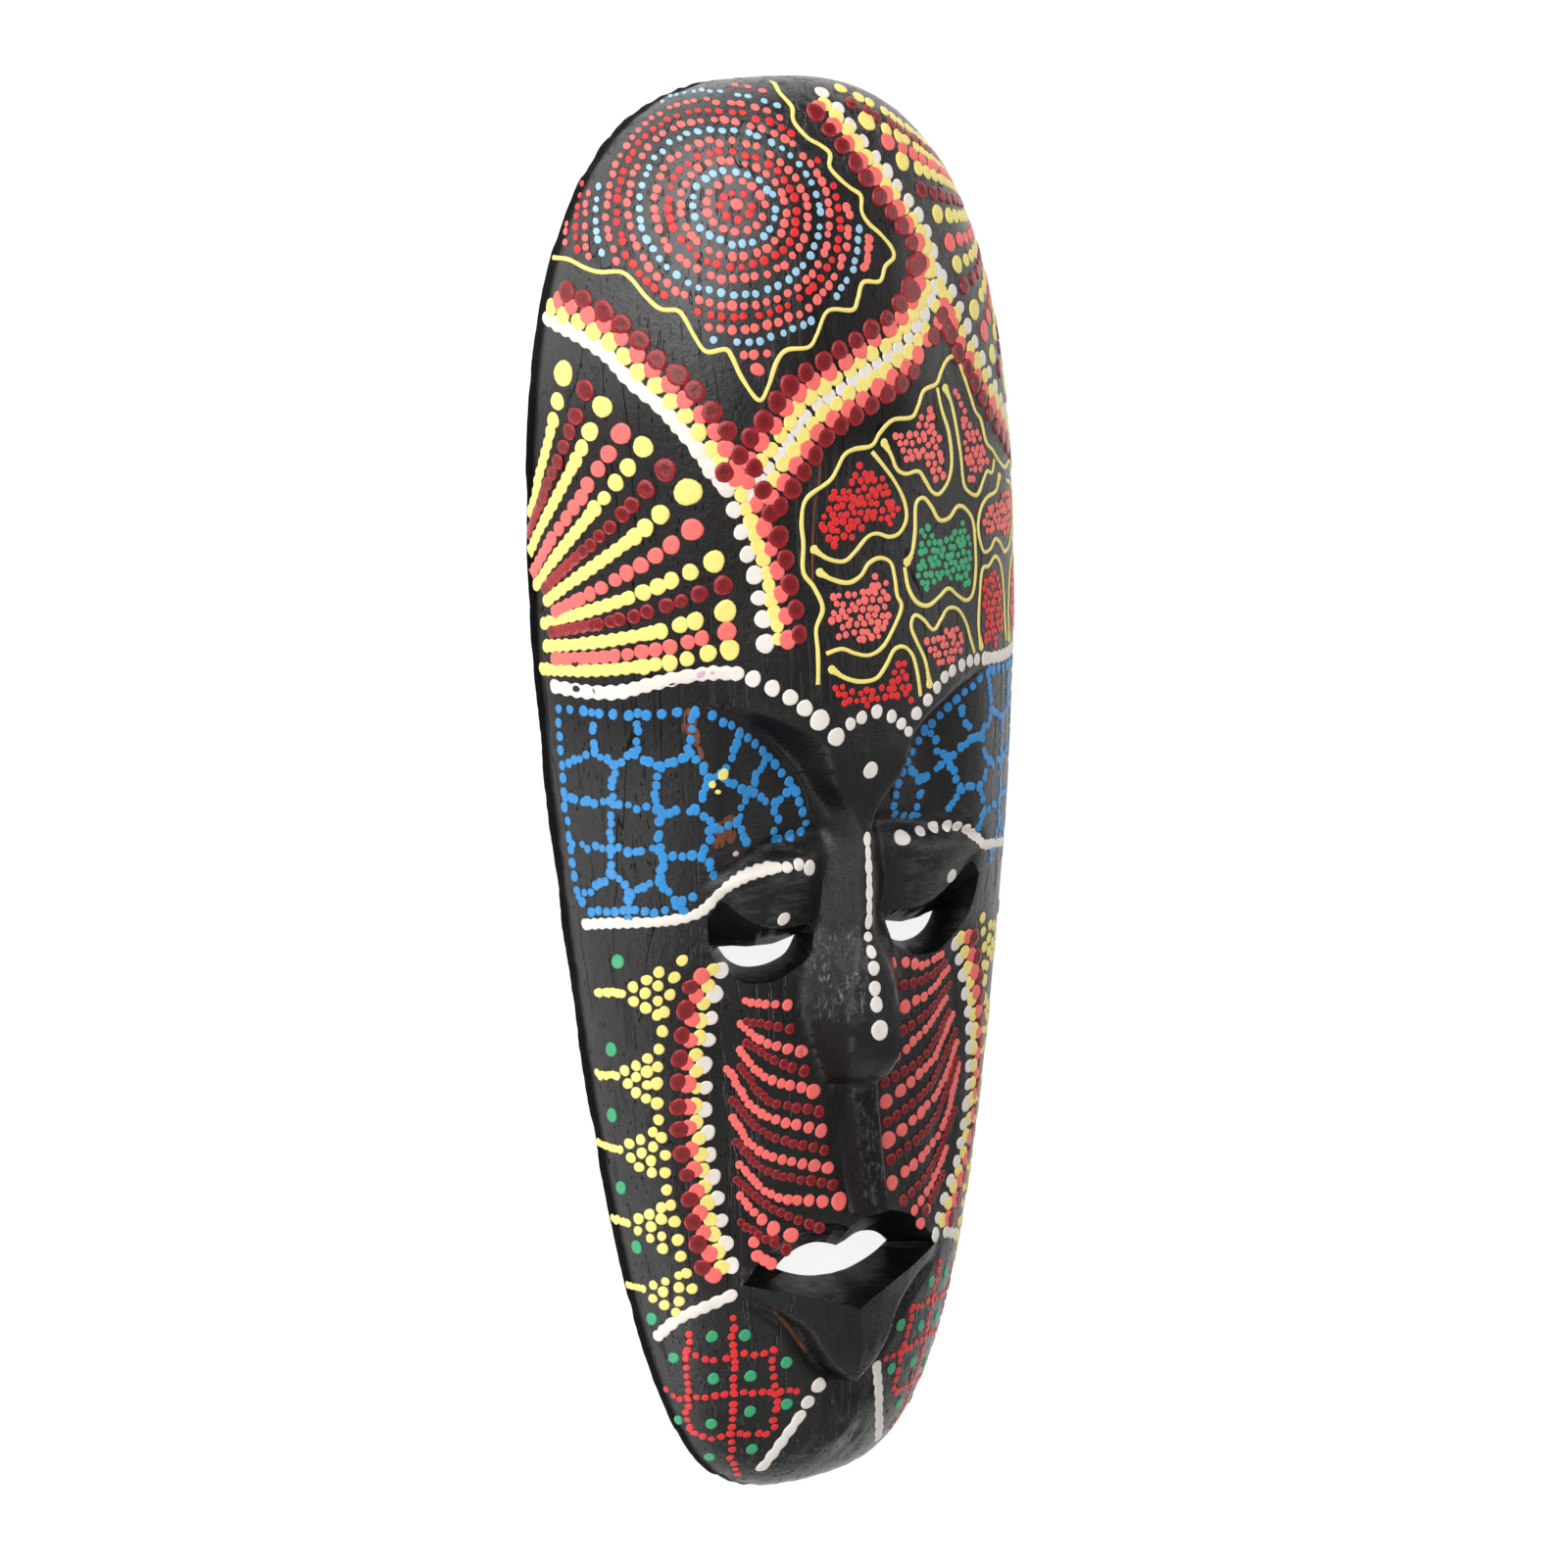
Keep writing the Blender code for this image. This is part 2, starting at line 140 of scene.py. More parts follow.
CHIN_KNOB = 2.5
CHIN_KNOB_Y = -222.0
CHIN_KNOB_SPREAD = 13.0

# Marks of hand work: depth of each, and the lengths across and along the grain over which it changes; then
# where some of them lie or fade
PAINT_ROOM = 0.45
SQUEEZE = np.array([1.0 - PAINT_ROOM / HALF_WIDTH, 1.0 - PAINT_ROOM / (0.5 * HEIGHT), 1.0])
SHAPING = (0.40, 15.0, 34.0)
CHISEL = (0.26, 3.4, 9.0)
CHISEL_SPAN = (-205.0, 46.0)
CHISEL_SPAN_SOFT = 8.0
CHISEL_REACH = (56.0, 46.0)
ROUGH_NOSE = (0.55, 1.9, 3.6)
ROUGH_NOSE_PLACE = ((-21.0, -3.0), (-84.0, -32.0))
ROUGH_NOSE_SOFT = (2.0, 5.0)
ROUGH_NOSE_WAVER = (0.5, 6.0)
NOSE_CUT = 0.36
NOSE_CUT_LINE = ((-2.0, -78.0), (-20.0, -60.0))
NOSE_CUT_SOFT = 1.5
NOSE_CUT_FADE_X = (4.0, 0.0)
NOSE_CUT_FADE_Y = (-94.0, -88.0)
NOSE_CREASE = 0.9
NOSE_CREASE_LINE = ((-16.0, -38.0), (-3.0, -29.0))
NOSE_CREASE_FADE_X = (-1.0, -4.0)
NOSE_CREASE_FADE_Y = (-43.0, -38.0)
ROUGH_CHIN = (1.3, 4.5, 6.0)
ROUGH_CHIN_PLACE = ((-12.0, 12.0), (-238.0, -206.0))
ROUGH_CHIN_SOFT = (4.0, 5.0)
ROUGH_CROWN = (0.9, 3.0, 3.0)
ROUGH_CROWN_FROM = (205.0, 240.0)
GOUGE = (1.1, 11.0, 46.0)
GOUGE_WAVER = (0.4, 46.0)
GOUGE_FADE = (0.0, 12.0)
# Chips and dents of the rim: depth, how often they change around the rim and over which height, and where
# they fade
RIM_CHIPS = 1.6
RIM_CHIP_TURNS = 30.0
RIM_CHIP_HEIGHT = 9.0
RIM_CHIP_LEAST = 0.45
RIM_DENTS = 0.3
RIM_DENT_TURNS = 120.0
RIM_DENT_HEIGHT = 4.0
RIM_CHIP_FADE = (16.0, 1.0)

# Factors that turn a lattice corner and a seed into a number that looks like chance
SCATTER = (127.1, 311.7, 74.7)
SCATTER_SCALE = 43758.5453

# Fineness of the wood's mesh, with the shares of its rows that lie anywhere, on the face and near the ends
ROWS = 400
ROW_SAMPLES = 4001
ROW_SHARE = 0.55
FACE_ROW_SHARE = 0.75
END_ROW_SHARE = 0.35
FINE_SPAN = (-206.0, 58.0)
FINE_SPAN_SOFT = 6.0
FRONT_COLUMNS = 196
BACK_COLUMNS = 34
POCKET_STEPS = 44
POCKET_BEVEL = 0.7
BEVEL_RISE = 0.3
WEB_INSET = 1.0
CUTTER_SPARE_SHARE = 0.4
SHARP_ANGLE = 42.0
SHARP_PAINT_ANGLE = 70.0


def ramp(value, start, end):
    """Return 0 before start and 1 past end, with a soft change between them."""
    share = np.clip((value - start) / (end - start), 0.0, 1.0)
    return share * share * (3.0 - 2.0 * share)


def between(first, second, share):
    """Go from the first value to the second as the share goes from 0 to 1."""
    return first + (second - first) * share


def soft_curve(points, place):
    """Read a smooth curve, with no overshoot, through points of (place, value)."""
    at, value = np.array(sorted(points), dtype=float).T
    rise = np.diff(value) / np.diff(at)
    slope = np.concatenate([rise[:1], 0.5 * (rise[:-1] + rise[1:]), rise[-1:]])
    turning = rise[:-1] * rise[1:] <= 0.0
    slope[1:-1][turning] = 0.0
    least = np.minimum(np.abs(rise[:-1]), np.abs(rise[1:]))
    # A cubic that is steeper at its ends than three times its mean rise would overshoot
    slope[1:-1] = np.clip(slope[1:-1], -3.0 * least, 3.0 * least)
    place = np.clip(place, at[0], at[-1])
    left = np.clip(np.searchsorted(at, place) - 1, 0, len(at) - 2)
    step = at[left + 1] - at[left]
    t = (place - at[left]) / step
    start = (1.0 + 2.0 * t) * (1.0 - t) ** 2 * value[left] + t * (1.0 - t) ** 2 * step * slope[left]
    end = t * t * (3.0 - 2.0 * t) * value[left + 1] + t * t * (t - 1.0) * step * slope[left + 1]
    return start + end


def rounded_end(share, peak, above, below):
    """Profile along the log, 1 at its peak and 0 at both ends; share is -1 at the chin and 1 at the crown."""
    upper = np.clip((share - peak) / (1.0 - peak), 0.0, 1.0)
    lower = np.clip((peak - share) / (1.0 + peak), 0.0, 1.0)
    toward_crown = (1.0 - upper ** above[0]) ** (1.0 / above[1])
    toward_chin = (1.0 - lower ** below[0]) ** (1.0 / below[1])
    return np.where(share > peak, toward_crown, toward_chin)


def outline(share):
    return rounded_end(share, WIDEST_SHARE, CROWN_OUTLINE_POWERS, CHIN_OUTLINE_POWERS)


def crest(share):
    return rounded_end(share, DEEPEST_SHARE, CROWN_PROFILE_POWERS, CHIN_PROFILE_POWERS)


def arch(across, share):
    """Height of the cross-section, 1 at the middle and 0 at the edge; across runs from -1 to 1."""
    power = SECTION_POWERS[0] + SECTION_POWER_GAIN * share
    return (1.0 - np.clip(np.abs(across), 0.0, 1.0) ** power) ** (1.0 / SECTION_POWERS[1])


def cheek_level(x, y, across):
    """Level of the sunken brow panels and cheeks, from the log."""
    brow = -BROW_PANEL_DEPTH * (1.0 - ramp(x, *BROW_PANEL_REACH))
    cheek = -CHEEK_DEPTH * (1.0 - ramp(across, *CHEEK_REACH_SHARES)) * (1.0 - ramp(y, *CHEEK_BOTTOM))
    return between(brow, cheek, ramp(y, *CHEEK_TOP))


def lid_level(x, y, level):
    """Model the eyelid: a roll under the crease, then a facet that slopes in towards the socket."""
    edge = soft_curve(LID_EDGE, x)
    crease = soft_curve(LID_CREASE, x)
    beside = 1.0 - ramp(x, *LID_REACH)
    rise = (y - edge) / (crease - edge)
    low = soft_curve(LID_EDGE_LEVEL, x)
    lid = between(low, soft_curve(LID_TOP_LEVEL, x), ramp(rise, *LID_FACET_SHARES))
    lid = between(lid, level, ramp(rise, *LID_ROLL_SHARES))
    under = between(low, level, ramp(rise, *LID_UNDERSIDE_SHARES))
    lid = np.where(rise < 0.0, under, lid)
    groove = LID_GROOVE * np.exp(-((y - crease) / LID_GROOVE_WIDTH) ** 2)
    return level + (lid - level - groove) * beside


def bar_lean(y):
    """How far the bar under the nose is carved out of the middle."""
    return BAR_LEAN * np.clip((y - BAR_LEAN_Y[0]) / (BAR_LEAN_Y[1] - BAR_LEAN_Y[0]), 0.0, 1.0)


def left_of_line(x, y, line):
    """Distance to the left of a line, as seen by someone who walks along it."""
    (start_x, start_y), (end_x, end_y) = line
    along_x, along_y = end_x - start_x, end_y - start_y
    return (along_x * (y - start_y) - along_y * (x - start_x)) / math.hypot(along_x, along_y)


def nose_cuts(x, y):
    """Depth of the flat cut under the left of the nose, and of the crease where the nose begins."""
    below = left_of_line(x, y, NOSE_CUT_LINE)
    below = 0.5 * (below + np.sqrt(below * below + NOSE_CUT_SOFT ** 2))
    facet = NOSE_CUT * below * ramp(y, *NOSE_CUT_FADE_Y) * ramp(x, *NOSE_CUT_FADE_X)
    aside = left_of_line(x, y, NOSE_CREASE_LINE)
    crease = NOSE_CREASE * np.exp(-aside * aside)
    return facet + crease * ramp(x, *NOSE_CREASE_FADE_X) * ramp(y, *NOSE_CREASE_FADE_Y)


def strip_level(x, y, level, cut_depth):
    """Raise the forehead, the nose and the bar under it above the level on either side."""
    swell = ramp(y, *FOREHEAD_SWELL_Y) * ramp(y, *FOREHEAD_FADE_Y) * ramp(x, *FOREHEAD_FADE_X)
    top = FOREHEAD_SWELL * swell + soft_curve(STRIP_LEVEL, y) - cut_depth
    edge = soft_curve(STRIP_EDGE, y)
    beside_nose = np.clip((x - edge) / (soft_curve(STRIP_FOOT, y) - edge), 0.0, 1.0)
    edge = soft_curve(BROW_EDGE, x)
    under_brow = np.clip((edge - y) / (edge - soft_curve(BROW_FOOT, x)), 0.0, 1.0)
    flank = np.minimum(beside_nose, under_brow)
    flank = between(flank, ramp(flank, 0.0, 1.0), FLANK_SOFT_SHARE)
    return np.where(y > STRIP_END, between(top, level, flank), level)


def lip_level(x, y, level):
    """Raise the lower lip, with a groove around it."""
    side = soft_curve(LIP_HALF_WIDTH, y) - x
    below_mouth = np.where(y > LIP_HALF_WIDTH[0][0], ramp(y - soft_curve(MOUTH_EDGE, x), *LIP_INSIDE), 0.0)
    groove = ramp(side, -LIP_GROOVE_WIDTH, 0.0) * ramp(y, *LIP_GROOVE_FROM) * ramp(y, *LIP_GROOVE_TO)
    level = level - LIP_GROOVE * groove
    lip = soft_curve(LIP_LEVEL, y) - LIP_RIDGE_SLOPE * x
    return between(level, lip, ramp(side, 0.0, LIP_SIDE) * below_mouth)


def carving(x, y, across):
    """How far the carved face stands out of the log; below zero it is cut in."""
    from_bar = np.abs(x - bar_lean(y))
    cut_depth = nose_cuts(x, y)
    x = np.abs(x)
    level = cheek_level(x, y, np.abs(across))
    level = lid_level(x, y, level)
    level = strip_level(from_bar, y, level, cut_depth)
    level = lip_level(x, y, level)
    knob = np.exp(-(x / CHIN_KNOB_SPREAD) ** 2 - ((y - CHIN_KNOB_Y) / CHIN_KNOB_SPREAD) ** 2)
    return level + CHIN_KNOB * knob


def hashed(i, j, seed):
    """A repeatable number from 0 to 1 for each lattice corner."""
    by_i, by_j, by_seed = SCATTER
    return np.modf(np.abs(np.sin(i * by_i + j * by_j + seed * by_seed) * SCATTER_SCALE))[0]


def noise(x, y, seed):
    """Smooth noise from 0 to 1 that changes over a length of 1."""
    i, j = np.floor(x), np.floor(y)
    f, g = x - i, y - j
    f, g = f * f * (3.0 - 2.0 * f), g * g * (3.0 - 2.0 * g)
    low = between(hashed(i, j, seed), hashed(i + 1, j, seed), f)
    high = between(hashed(i, j + 1, seed), hashed(i + 1, j + 1, seed), f)
    return between(low, high, g)


def within(value, limits, soft):
    """Return 1 between the limits and 0 away from them."""
    return ramp(value, limits[0] - soft, limits[0] + soft) * ramp(value, limits[1] + soft, limits[1] - soft)


def cuts(marks, x, y, seed):
    """Uneven cuts of a tool; marks are the depth and the lengths across and along the grain."""
    depth, across, along = marks
    return depth * noise(x / across, y / along, seed)


def ridges(marks, waver, x, y, seed, waver_seed):
    """Wavering ridges with furrows between them; waver is how much they waver, and over which length."""
    depth, across, along = marks
    bend, length = waver
    x = x / across + bend * noise(y / length, x / length, waver_seed)
    return depth * np.abs(2.0 * noise(x, y / along, seed) - 1.0)


def inside_place(x, y, place, soft_x, soft_y):
    return within(x, place[0], soft_x) * within(y, place[1], soft_y)


def hand_work(x, y, across):
    """How much wood the tools took off the ideal surface; never below zero."""
    carved = within(y, CHISEL_SPAN, CHISEL_SPAN_SOFT) * ramp(np.abs(x), *CHISEL_REACH)
    depth = cuts(SHAPING, x, y, seed=1) + carved * cuts(CHISEL, x, y, seed=2)
    nose = inside_place(x, y, ROUGH_NOSE_PLACE, *ROUGH_NOSE_SOFT)
    depth = depth + nose * ridges(ROUGH_NOSE, ROUGH_NOSE_WAVER, x, y, seed=3, waver_seed=5)
    chin = inside_place(x, y, ROUGH_CHIN_PLACE, *ROUGH_CHIN_SOFT)
    crown = ramp(y, *ROUGH_CROWN_FROM)
    depth = depth + chin * cuts(ROUGH_CHIN, x, y, seed=4) + crown * cuts(ROUGH_CROWN, x, y, seed=6)
    return depth * (1.0 - np.abs(across) ** 4)


def front_height(x, y, marks=True):
    """Height of the carved front over the point (x, y)."""
    share = np.clip(2.0 * y / HEIGHT, -1.0, 1.0)
    width = np.maximum(HALF_WIDTH * outline(share), 1e-6)
    across = np.clip(x / width, -1.0, 1.0)
    log = DEPTH * crest(share) * arch(across, share)
    relief = carving(x, y, across)
    if marks:
        relief = relief - hand_work(x, y, across) - PAINT_ROOM
    fade = ramp(1.0 - np.abs(across), 0.0, CARVING_FADE_SHARES[0])
    fade = fade * ramp(1.0 - np.abs(share), 0.0, CARVING_FADE_SHARES[1])
    return np.maximum(log + relief * fade, 0.0)


def back_height(x, y):
    """Height of the gouged hollow over the point (x, y)."""
    share = np.clip(y / (0.5 * HEIGHT - RIM_WIDTH), -1.0, 1.0)
    width = np.maximum((HALF_WIDTH - RIM_WIDTH) * outline(share), 1e-6)
    hollow = (DEPTH - WALL) * crest(share) * arch(x / width, share)
    groove = ridges(GOUGE, GOUGE_WAVER, x, y, seed=9, waver_seed=8) * ramp(hollow, *GOUGE_FADE)
    skin = front_height(x, y, marks=False) - LEAST_WALL
    return np.clip(np.minimum(hollow, skin) - groove, 0.0, None)


def row_shares():
    """Rows from chin to crown: closer together on the face and at both ends."""
    fine = np.linspace(-1.0, 1.0, ROW_SAMPLES)
    face = within(fine * 0.5 * HEIGHT, FINE_SPAN, FINE_SPAN_SOFT)
    ends = 1.0 / np.sqrt(1.0001 - fine ** 2)
    amount = np.cumsum(ROW_SHARE + FACE_ROW_SHARE * face + END_ROW_SHARE * ends)
    amount = (amount - amount[0]) / (amount[-1] - amount[0])
    return np.interp(np.linspace(0.0, 1.0, ROWS + 1)[1:-1], amount, fine)


def sheet(half_height, half_width, columns, height):
    """Points of one skin: rows from chin to crown, each from edge to edge, and a pole at each end."""
    share = row_shares()
    across = np.sin(np.linspace(-0.5 * math.pi, 0.5 * math.pi, columns + 1))
    x = half_width * outline(share)[:, None] * across[None, :]
    y = np.repeat(half_height * share[:, None], columns + 1, axis=1)
    follow = ramp(y, *LEAN_FADE_Y) * np.exp(-(x / LEAN_SPREAD) ** 2) * (1.0 - across[None, :] ** 4)
    x = x + bar_lean(y) * follow
    z = height(x, y)
    z[:, 0] = 0.0
    z[:, -1] = 0.0
    points = np.stack([x, y, z], axis=-1).reshape(-1, 3)
    poles = np.array([[0.0, -half_height, 0.0], [0.0, half_height, 0.0]])
    return np.concatenate([points, poles])


def grid_faces(rows, columns, start=0, closed=False):
    """Quads between neighbouring rows of points; a closed grid joins the last column to the first."""
    faces = []
    for row in range(start, start + (rows - 1) * columns, columns):
        for column in range(columns if closed else columns - 1):
            following = row + (column + 1) % columns
            faces.append((row + column, following, following + columns, row + column + columns))
    return faces


def sheet_faces(columns, start):
    """Faces of a skin whose points begin at start, facing up."""
    faces = grid_faces(ROWS - 1, columns + 1, start)
    last = start + (ROWS - 2) * (columns + 1)
    chin = last + columns + 1
    for column in range(columns):
        faces.append((chin, start + column + 1, start + column))
        faces.append((last + column, last + column + 1, chin + 1))
    return faces


def sheet_edge(columns, start):
    """Numbers of the points around a skin, from the chin up the left side and down the right."""
    left = list(range(start, start + (ROWS - 1) * (columns + 1), columns + 1))
    chin = left[-1] + columns + 1
    return [chin] + left + [chin + 1] + [point + columns for point in reversed(left)]


def worn(points):
    """Move points a little inside the solid, so that paint has room, and chip the edge of the rim."""
    points = points * SQUEEZE
    x, y, z = np.moveaxis(points, -1, 0)
    turn = np.arctan2(y / HEIGHT, x / (2.0 * HALF_WIDTH))
    chips = noise(turn * RIM_CHIP_TURNS, z / RIM_CHIP_HEIGHT, seed=21)
    depth = RIM_CHIPS * np.maximum(chips - RIM_CHIP_LEAST, 0.0)
    depth = depth + RIM_DENTS * noise(turn * RIM_DENT_TURNS, z / RIM_DENT_HEIGHT, seed=22)
    depth = depth * ramp(z, *RIM_CHIP_FADE) / np.maximum(np.hypot(x, y), 1.0)
    points[..., :2] *= (1.0 - depth)[..., None]
    return points


def new_mesh(name, points, faces, materials):
    """A mesh from points in millimetres."""
    mesh = bpy.data.meshes.new(name)
    mesh.from_pydata((MM * points).tolist(), [], faces)
    for material in materials:
        mesh.materials.append(material)
    return mesh


def new_object(name, data, axes=None, place=None):
    """An object in the scene; axes are the directions of its right, its top and its back."""
    made = bpy.data.objects.new(name, data)
    if axes is not None:
        pose = np.eye(4)
        pose[:3] = np.column_stack([*axes, place])
        made.matrix_world = Matrix(pose.tolist())
    bpy.context.scene.collection.objects.link(made)
    return made


def wood_mesh(materials):
    """Front, hollow back and rim as one closed mesh; the materials are those of the front and of the back."""
    front = worn(sheet(0.5 * HEIGHT, HALF_WIDTH, FRONT_COLUMNS, front_height))
    back = sheet(0.5 * HEIGHT - RIM_WIDTH, HALF_WIDTH - RIM_WIDTH, BACK_COLUMNS, back_height)
    faces = sheet_faces(FRONT_COLUMNS, 0)
    of_back = np.ones(len(faces) + 2 * ROWS + BACK_COLUMNS * ROWS, dtype=np.int32)
    of_back[:len(faces)] = 0
    faces += [face[::-1] for face in sheet_faces(BACK_COLUMNS, len(front))]
    outer = sheet_edge(FRONT_COLUMNS, 0)
    inner = sheet_edge(BACK_COLUMNS, len(front))
    faces += list(zip(outer, outer[1:] + outer[:1], inner[1:] + inner[:1], inner))
    mesh = new_mesh("carved_wood", np.concatenate([front, back]), faces, materials)
    mesh.polygons.foreach_set("material_index", of_back)
    return mesh


def ring(upper, lower, both_sides=False):
    """Points around an opening, anticlockwise from its inner corner; upper and lower are curves over x."""
    outer = upper[-1][0]
    inner = -outer if both_sides else upper[0][0]
    turn = np.linspace(0.0, math.pi, POCKET_STEPS + 1)
    x = inner + (outer - inner) * 0.5 * (1.0 - np.cos(turn))
    below = list(zip(x, soft_curve(lower, np.abs(x))))
    above = list(zip(x, soft_curve(upper, np.abs(x))))
    return np.array(below + above[-2:0:-1])


def widened(points, reach):
    """Move each point of a closed outline outwards by reach."""
    ahead = np.roll(points, -1, axis=0) - np.roll(points, 1, axis=0)
    ahead /= np.linalg.norm(ahead, axis=1)[:, None]
    return points + reach * np.column_stack([ahead[:, 1], -ahead[:, 0]])


def pocket_cutter(name, rim, hole, side, material):
    """Closed cutter of a socket, bevelled around its rim; it is mirrored to the left when side is -1."""
    outer = widened(rim, POCKET_BEVEL)
    levels = [
        (hole, -CUTTER_SPARE_SHARE * DEPTH),
        (hole, back_height(*hole.T) + LEAST_WALL - WEB_INSET),
        (rim, front_height(*rim.T, marks=False) - POCKET_BEVEL),
        (outer, front_height(*outer.T, marks=False) + BEVEL_RISE),
        (outer, (1.0 + CUTTER_SPARE_SHARE) * DEPTH),
    ]
    count = len(rim)
    points = [np.column_stack([outline, np.full(count, 0.0) + height]) for outline, height in levels]
    faces = [tuple(range(count))[::-1], tuple(range(4 * count, 5 * count))]
    for a, b, c, d in grid_faces(len(levels), count, closed=True):
        faces += [(a, b, d), (b, c, d)]
    faces = [face[::side] for face in faces]
    mesh = new_mesh(name, np.concatenate(points) * np.array([side, 1.0, 1.0]), faces, [material])
    return new_object(name, mesh)


def cut_out(wood, cutters):
    """Take the cutters out of the wood, and remove them."""
    for cutter in cutters:
        cut = wood.modifiers.new(cutter.name, "BOOLEAN")
        cut.operation = "DIFFERENCE"
        cut.solver = "EXACT"
        cut.material_mode = "TRANSFER"
        cut.object = cutter
    ready = wood.evaluated_get(bpy.context.evaluated_depsgraph_get())
    mesh = bpy.data.meshes.new_from_object(ready)
    wood.modifiers.clear()
    wood.data = mesh
    for cutter in cutters:
        bpy.data.objects.remove(cutter, do_unlink=True)


def smooth(mesh, angle):
    """Shade a mesh smooth, except at edges sharper than the angle."""
    mesh.shade_smooth()
    mesh.set_sharp_from_angle(angle=math.radians(angle))


def carved_wood(front, back, pocket):
    """The whole piece of wood, with its eye sockets and mouth cut out."""
    wood = new_object("carved_wood", wood_mesh([front, back]))
    eye = (ring(SOCKET_TOP, SOCKET_RIM), ring(EYE_TOP, EYE_BOTTOM))
    mouth = (ring(MOUTH_TOP, MOUTH_EDGE, True), ring(MOUTH_HOLE_TOP, MOUTH_HOLE_BOTTOM, True))
    cut_out(wood, [
        pocket_cutter("left_eye_cutter", *eye, -1, pocket),
        pocket_cutter("right_eye_cutter", *eye, 1, pocket),
        pocket_cutter("mouth_cutter", *mouth, 1, pocket),
    ])
    smooth(wood.data, SHARP_ANGLE)
    return wood


# The unrolled face: the heights at which it is measured, into how many parts each half of a row is split, and
# with how many samples; then the limits of the stretch and the furthest place from the middle, as a share
TABLE_Y = np.linspace(-249.6, 249.6, 521)
TABLE_PARTS = 200
TABLE_SAMPLES = 400
STRETCH_S = (0.8, 2.6)
STRETCH_Y = (0.8, 2.2)
FURTHEST_SHARE = 0.995


def unrolled_table():
    """For each row, the length around the log to the rim, and the share of the width where each part ends."""
    share = 2.0 * TABLE_Y / HEIGHT
    across = np.sin(np.linspace(0.0, 0.5 * math.pi, TABLE_SAMPLES))
    x = HALF_WIDTH * outline(share)[:, None] * across[None, :]
    z = DEPTH * crest(share)[:, None] * arch(across[None, :], share[:, None])
    length = np.hypot(np.diff(x, axis=1), np.diff(z, axis=1))
    length = np.concatenate([np.zeros((len(share), 1)), np.cumsum(length, axis=1)], axis=1)
    parts = np.linspace(0.0, 1.0, TABLE_PARTS + 1)
    places = [np.interp(parts * row[-1], row, across) for row in length]
    return length[:, -1], np.array(places)


REACH, ACROSS = unrolled_table()


def reach_at(y):
    """Length around the log from the middle to the rim."""
    return np.interp(y, TABLE_Y, REACH)


def surface(s, y):
    """Points on the worked wood, from places on the unrolled face."""
    y = np.clip(y, TABLE_Y[0], TABLE_Y[-1])
    row = (y - TABLE_Y[0]) / (TABLE_Y[1] - TABLE_Y[0])
    low = np.clip(row.astype(int), 0, len(TABLE_Y) - 2)
    f = row - low
    part = np.clip(np.abs(s) / reach_at(y), 0.0, FURTHEST_SHARE) * TABLE_PARTS
    left = np.clip(part.astype(int), 0, TABLE_PARTS - 1)
    g = part - left
    below = between(ACROSS[low, left], ACROSS[low, left + 1], g)
    above = between(ACROSS[low + 1, left], ACROSS[low + 1, left + 1], g)
    across = np.sign(s) * between(below, above, f)
    x = HALF_WIDTH * outline(2.0 * y / HEIGHT) * across
    return worn(np.stack([x, y, front_height(x, y)], axis=-1))


def steps_across(s, y, step):
    """Steps over a place on the carved surface, along s and along y."""
    return surface(s + step, y) - surface(s - step, y), surface(s, y + step) - surface(s, y - step)


def stretch(s, y, step=1.0):
    """How much longer the carved surface is than the unrolled face, along s and along y."""
    along_s, along_y = [np.linalg.norm(along, axis=-1) / (2.0 * step) for along in steps_across(s, y, step)]
    return np.clip(along_s, *STRETCH_S), np.clip(along_y, *STRETCH_Y)


def normal(s, y, step=1.2):
    """Direction out of the wood at places on the unrolled face."""
    out = np.cross(*steps_across(s, y, step))
    return out / np.linalg.norm(out, axis=-1, keepdims=True)


# Paints: height of a full drop, colour, roughness and the share it darkens to; a clear paint has two more,
# how mottled it is and how dark where it lies deep. Bare wood has a dark and a light colour, and a roughness.
PAINTS = {
    "white": (0.28, (235, 227, 218), 0.42, 0.93),
    "yellow": (0.33, (247, 228, 128), 0.40, 0.93),
    "coral": (0.40, (248, 112, 106), 0.40, 0.92),
    "dark_red": (0.48, (150, 30, 36), 0.26, 0.8, 0.3, 0.75),
    "red": (0.34, (228, 40, 42), 0.36, 0.9),
    "blue": (0.30, (46, 139, 206), 0.38, 0.9),
    "light_blue": (0.28, (156, 200, 228), 0.40, 0.9),
    "green": (0.32, (54, 166, 112), 0.38, 0.9),
    "pink_stain": (0.44, (214, 178, 196), 0.42, 0.9),
    "black_chip": (0.50, (20, 19, 19), 0.3, 0.9),
    "bare_wood": (0.09, (84, 44, 30), (128, 76, 52), 0.55),
}
# Marks that aren't a paint of their own, with the slot of what they lie on
MARKS = {"pink_stain": "white_paint", "black_chip": "black_painted_wood", "bare_wood": "black_painted_wood"}
SLOTS = {colour: MARKS.get(colour, colour + "_paint") for colour in PAINTS}
# Drops: points around each, its rings as (share of the radius, share of the height), the share of the height
# in its middle, the waves of its outline as (number, share of the radius), and how height follows width
DROP_POINTS = 14
DROP_RINGS = [(1.0, -0.9), (1.0, 0.20), (0.94, 0.70), (0.80, 0.98), (0.50, 0.95), (0.18, 0.90)]
DROP_MIDDLE = 0.84
DROP_WAVES = [(2.0, 0.035), (3.0, 0.03), (5.0, 0.015)]
FULL_DROP_WIDTH = 4.0
DROP_HEIGHT_SHARES = (0.72, 1.15)
# How deep the paint lies in each ring, for a clear colour
DROP_RING_POOLS = [0.0, 0.0, 0.0, 0.1, 0.75, 1.0]
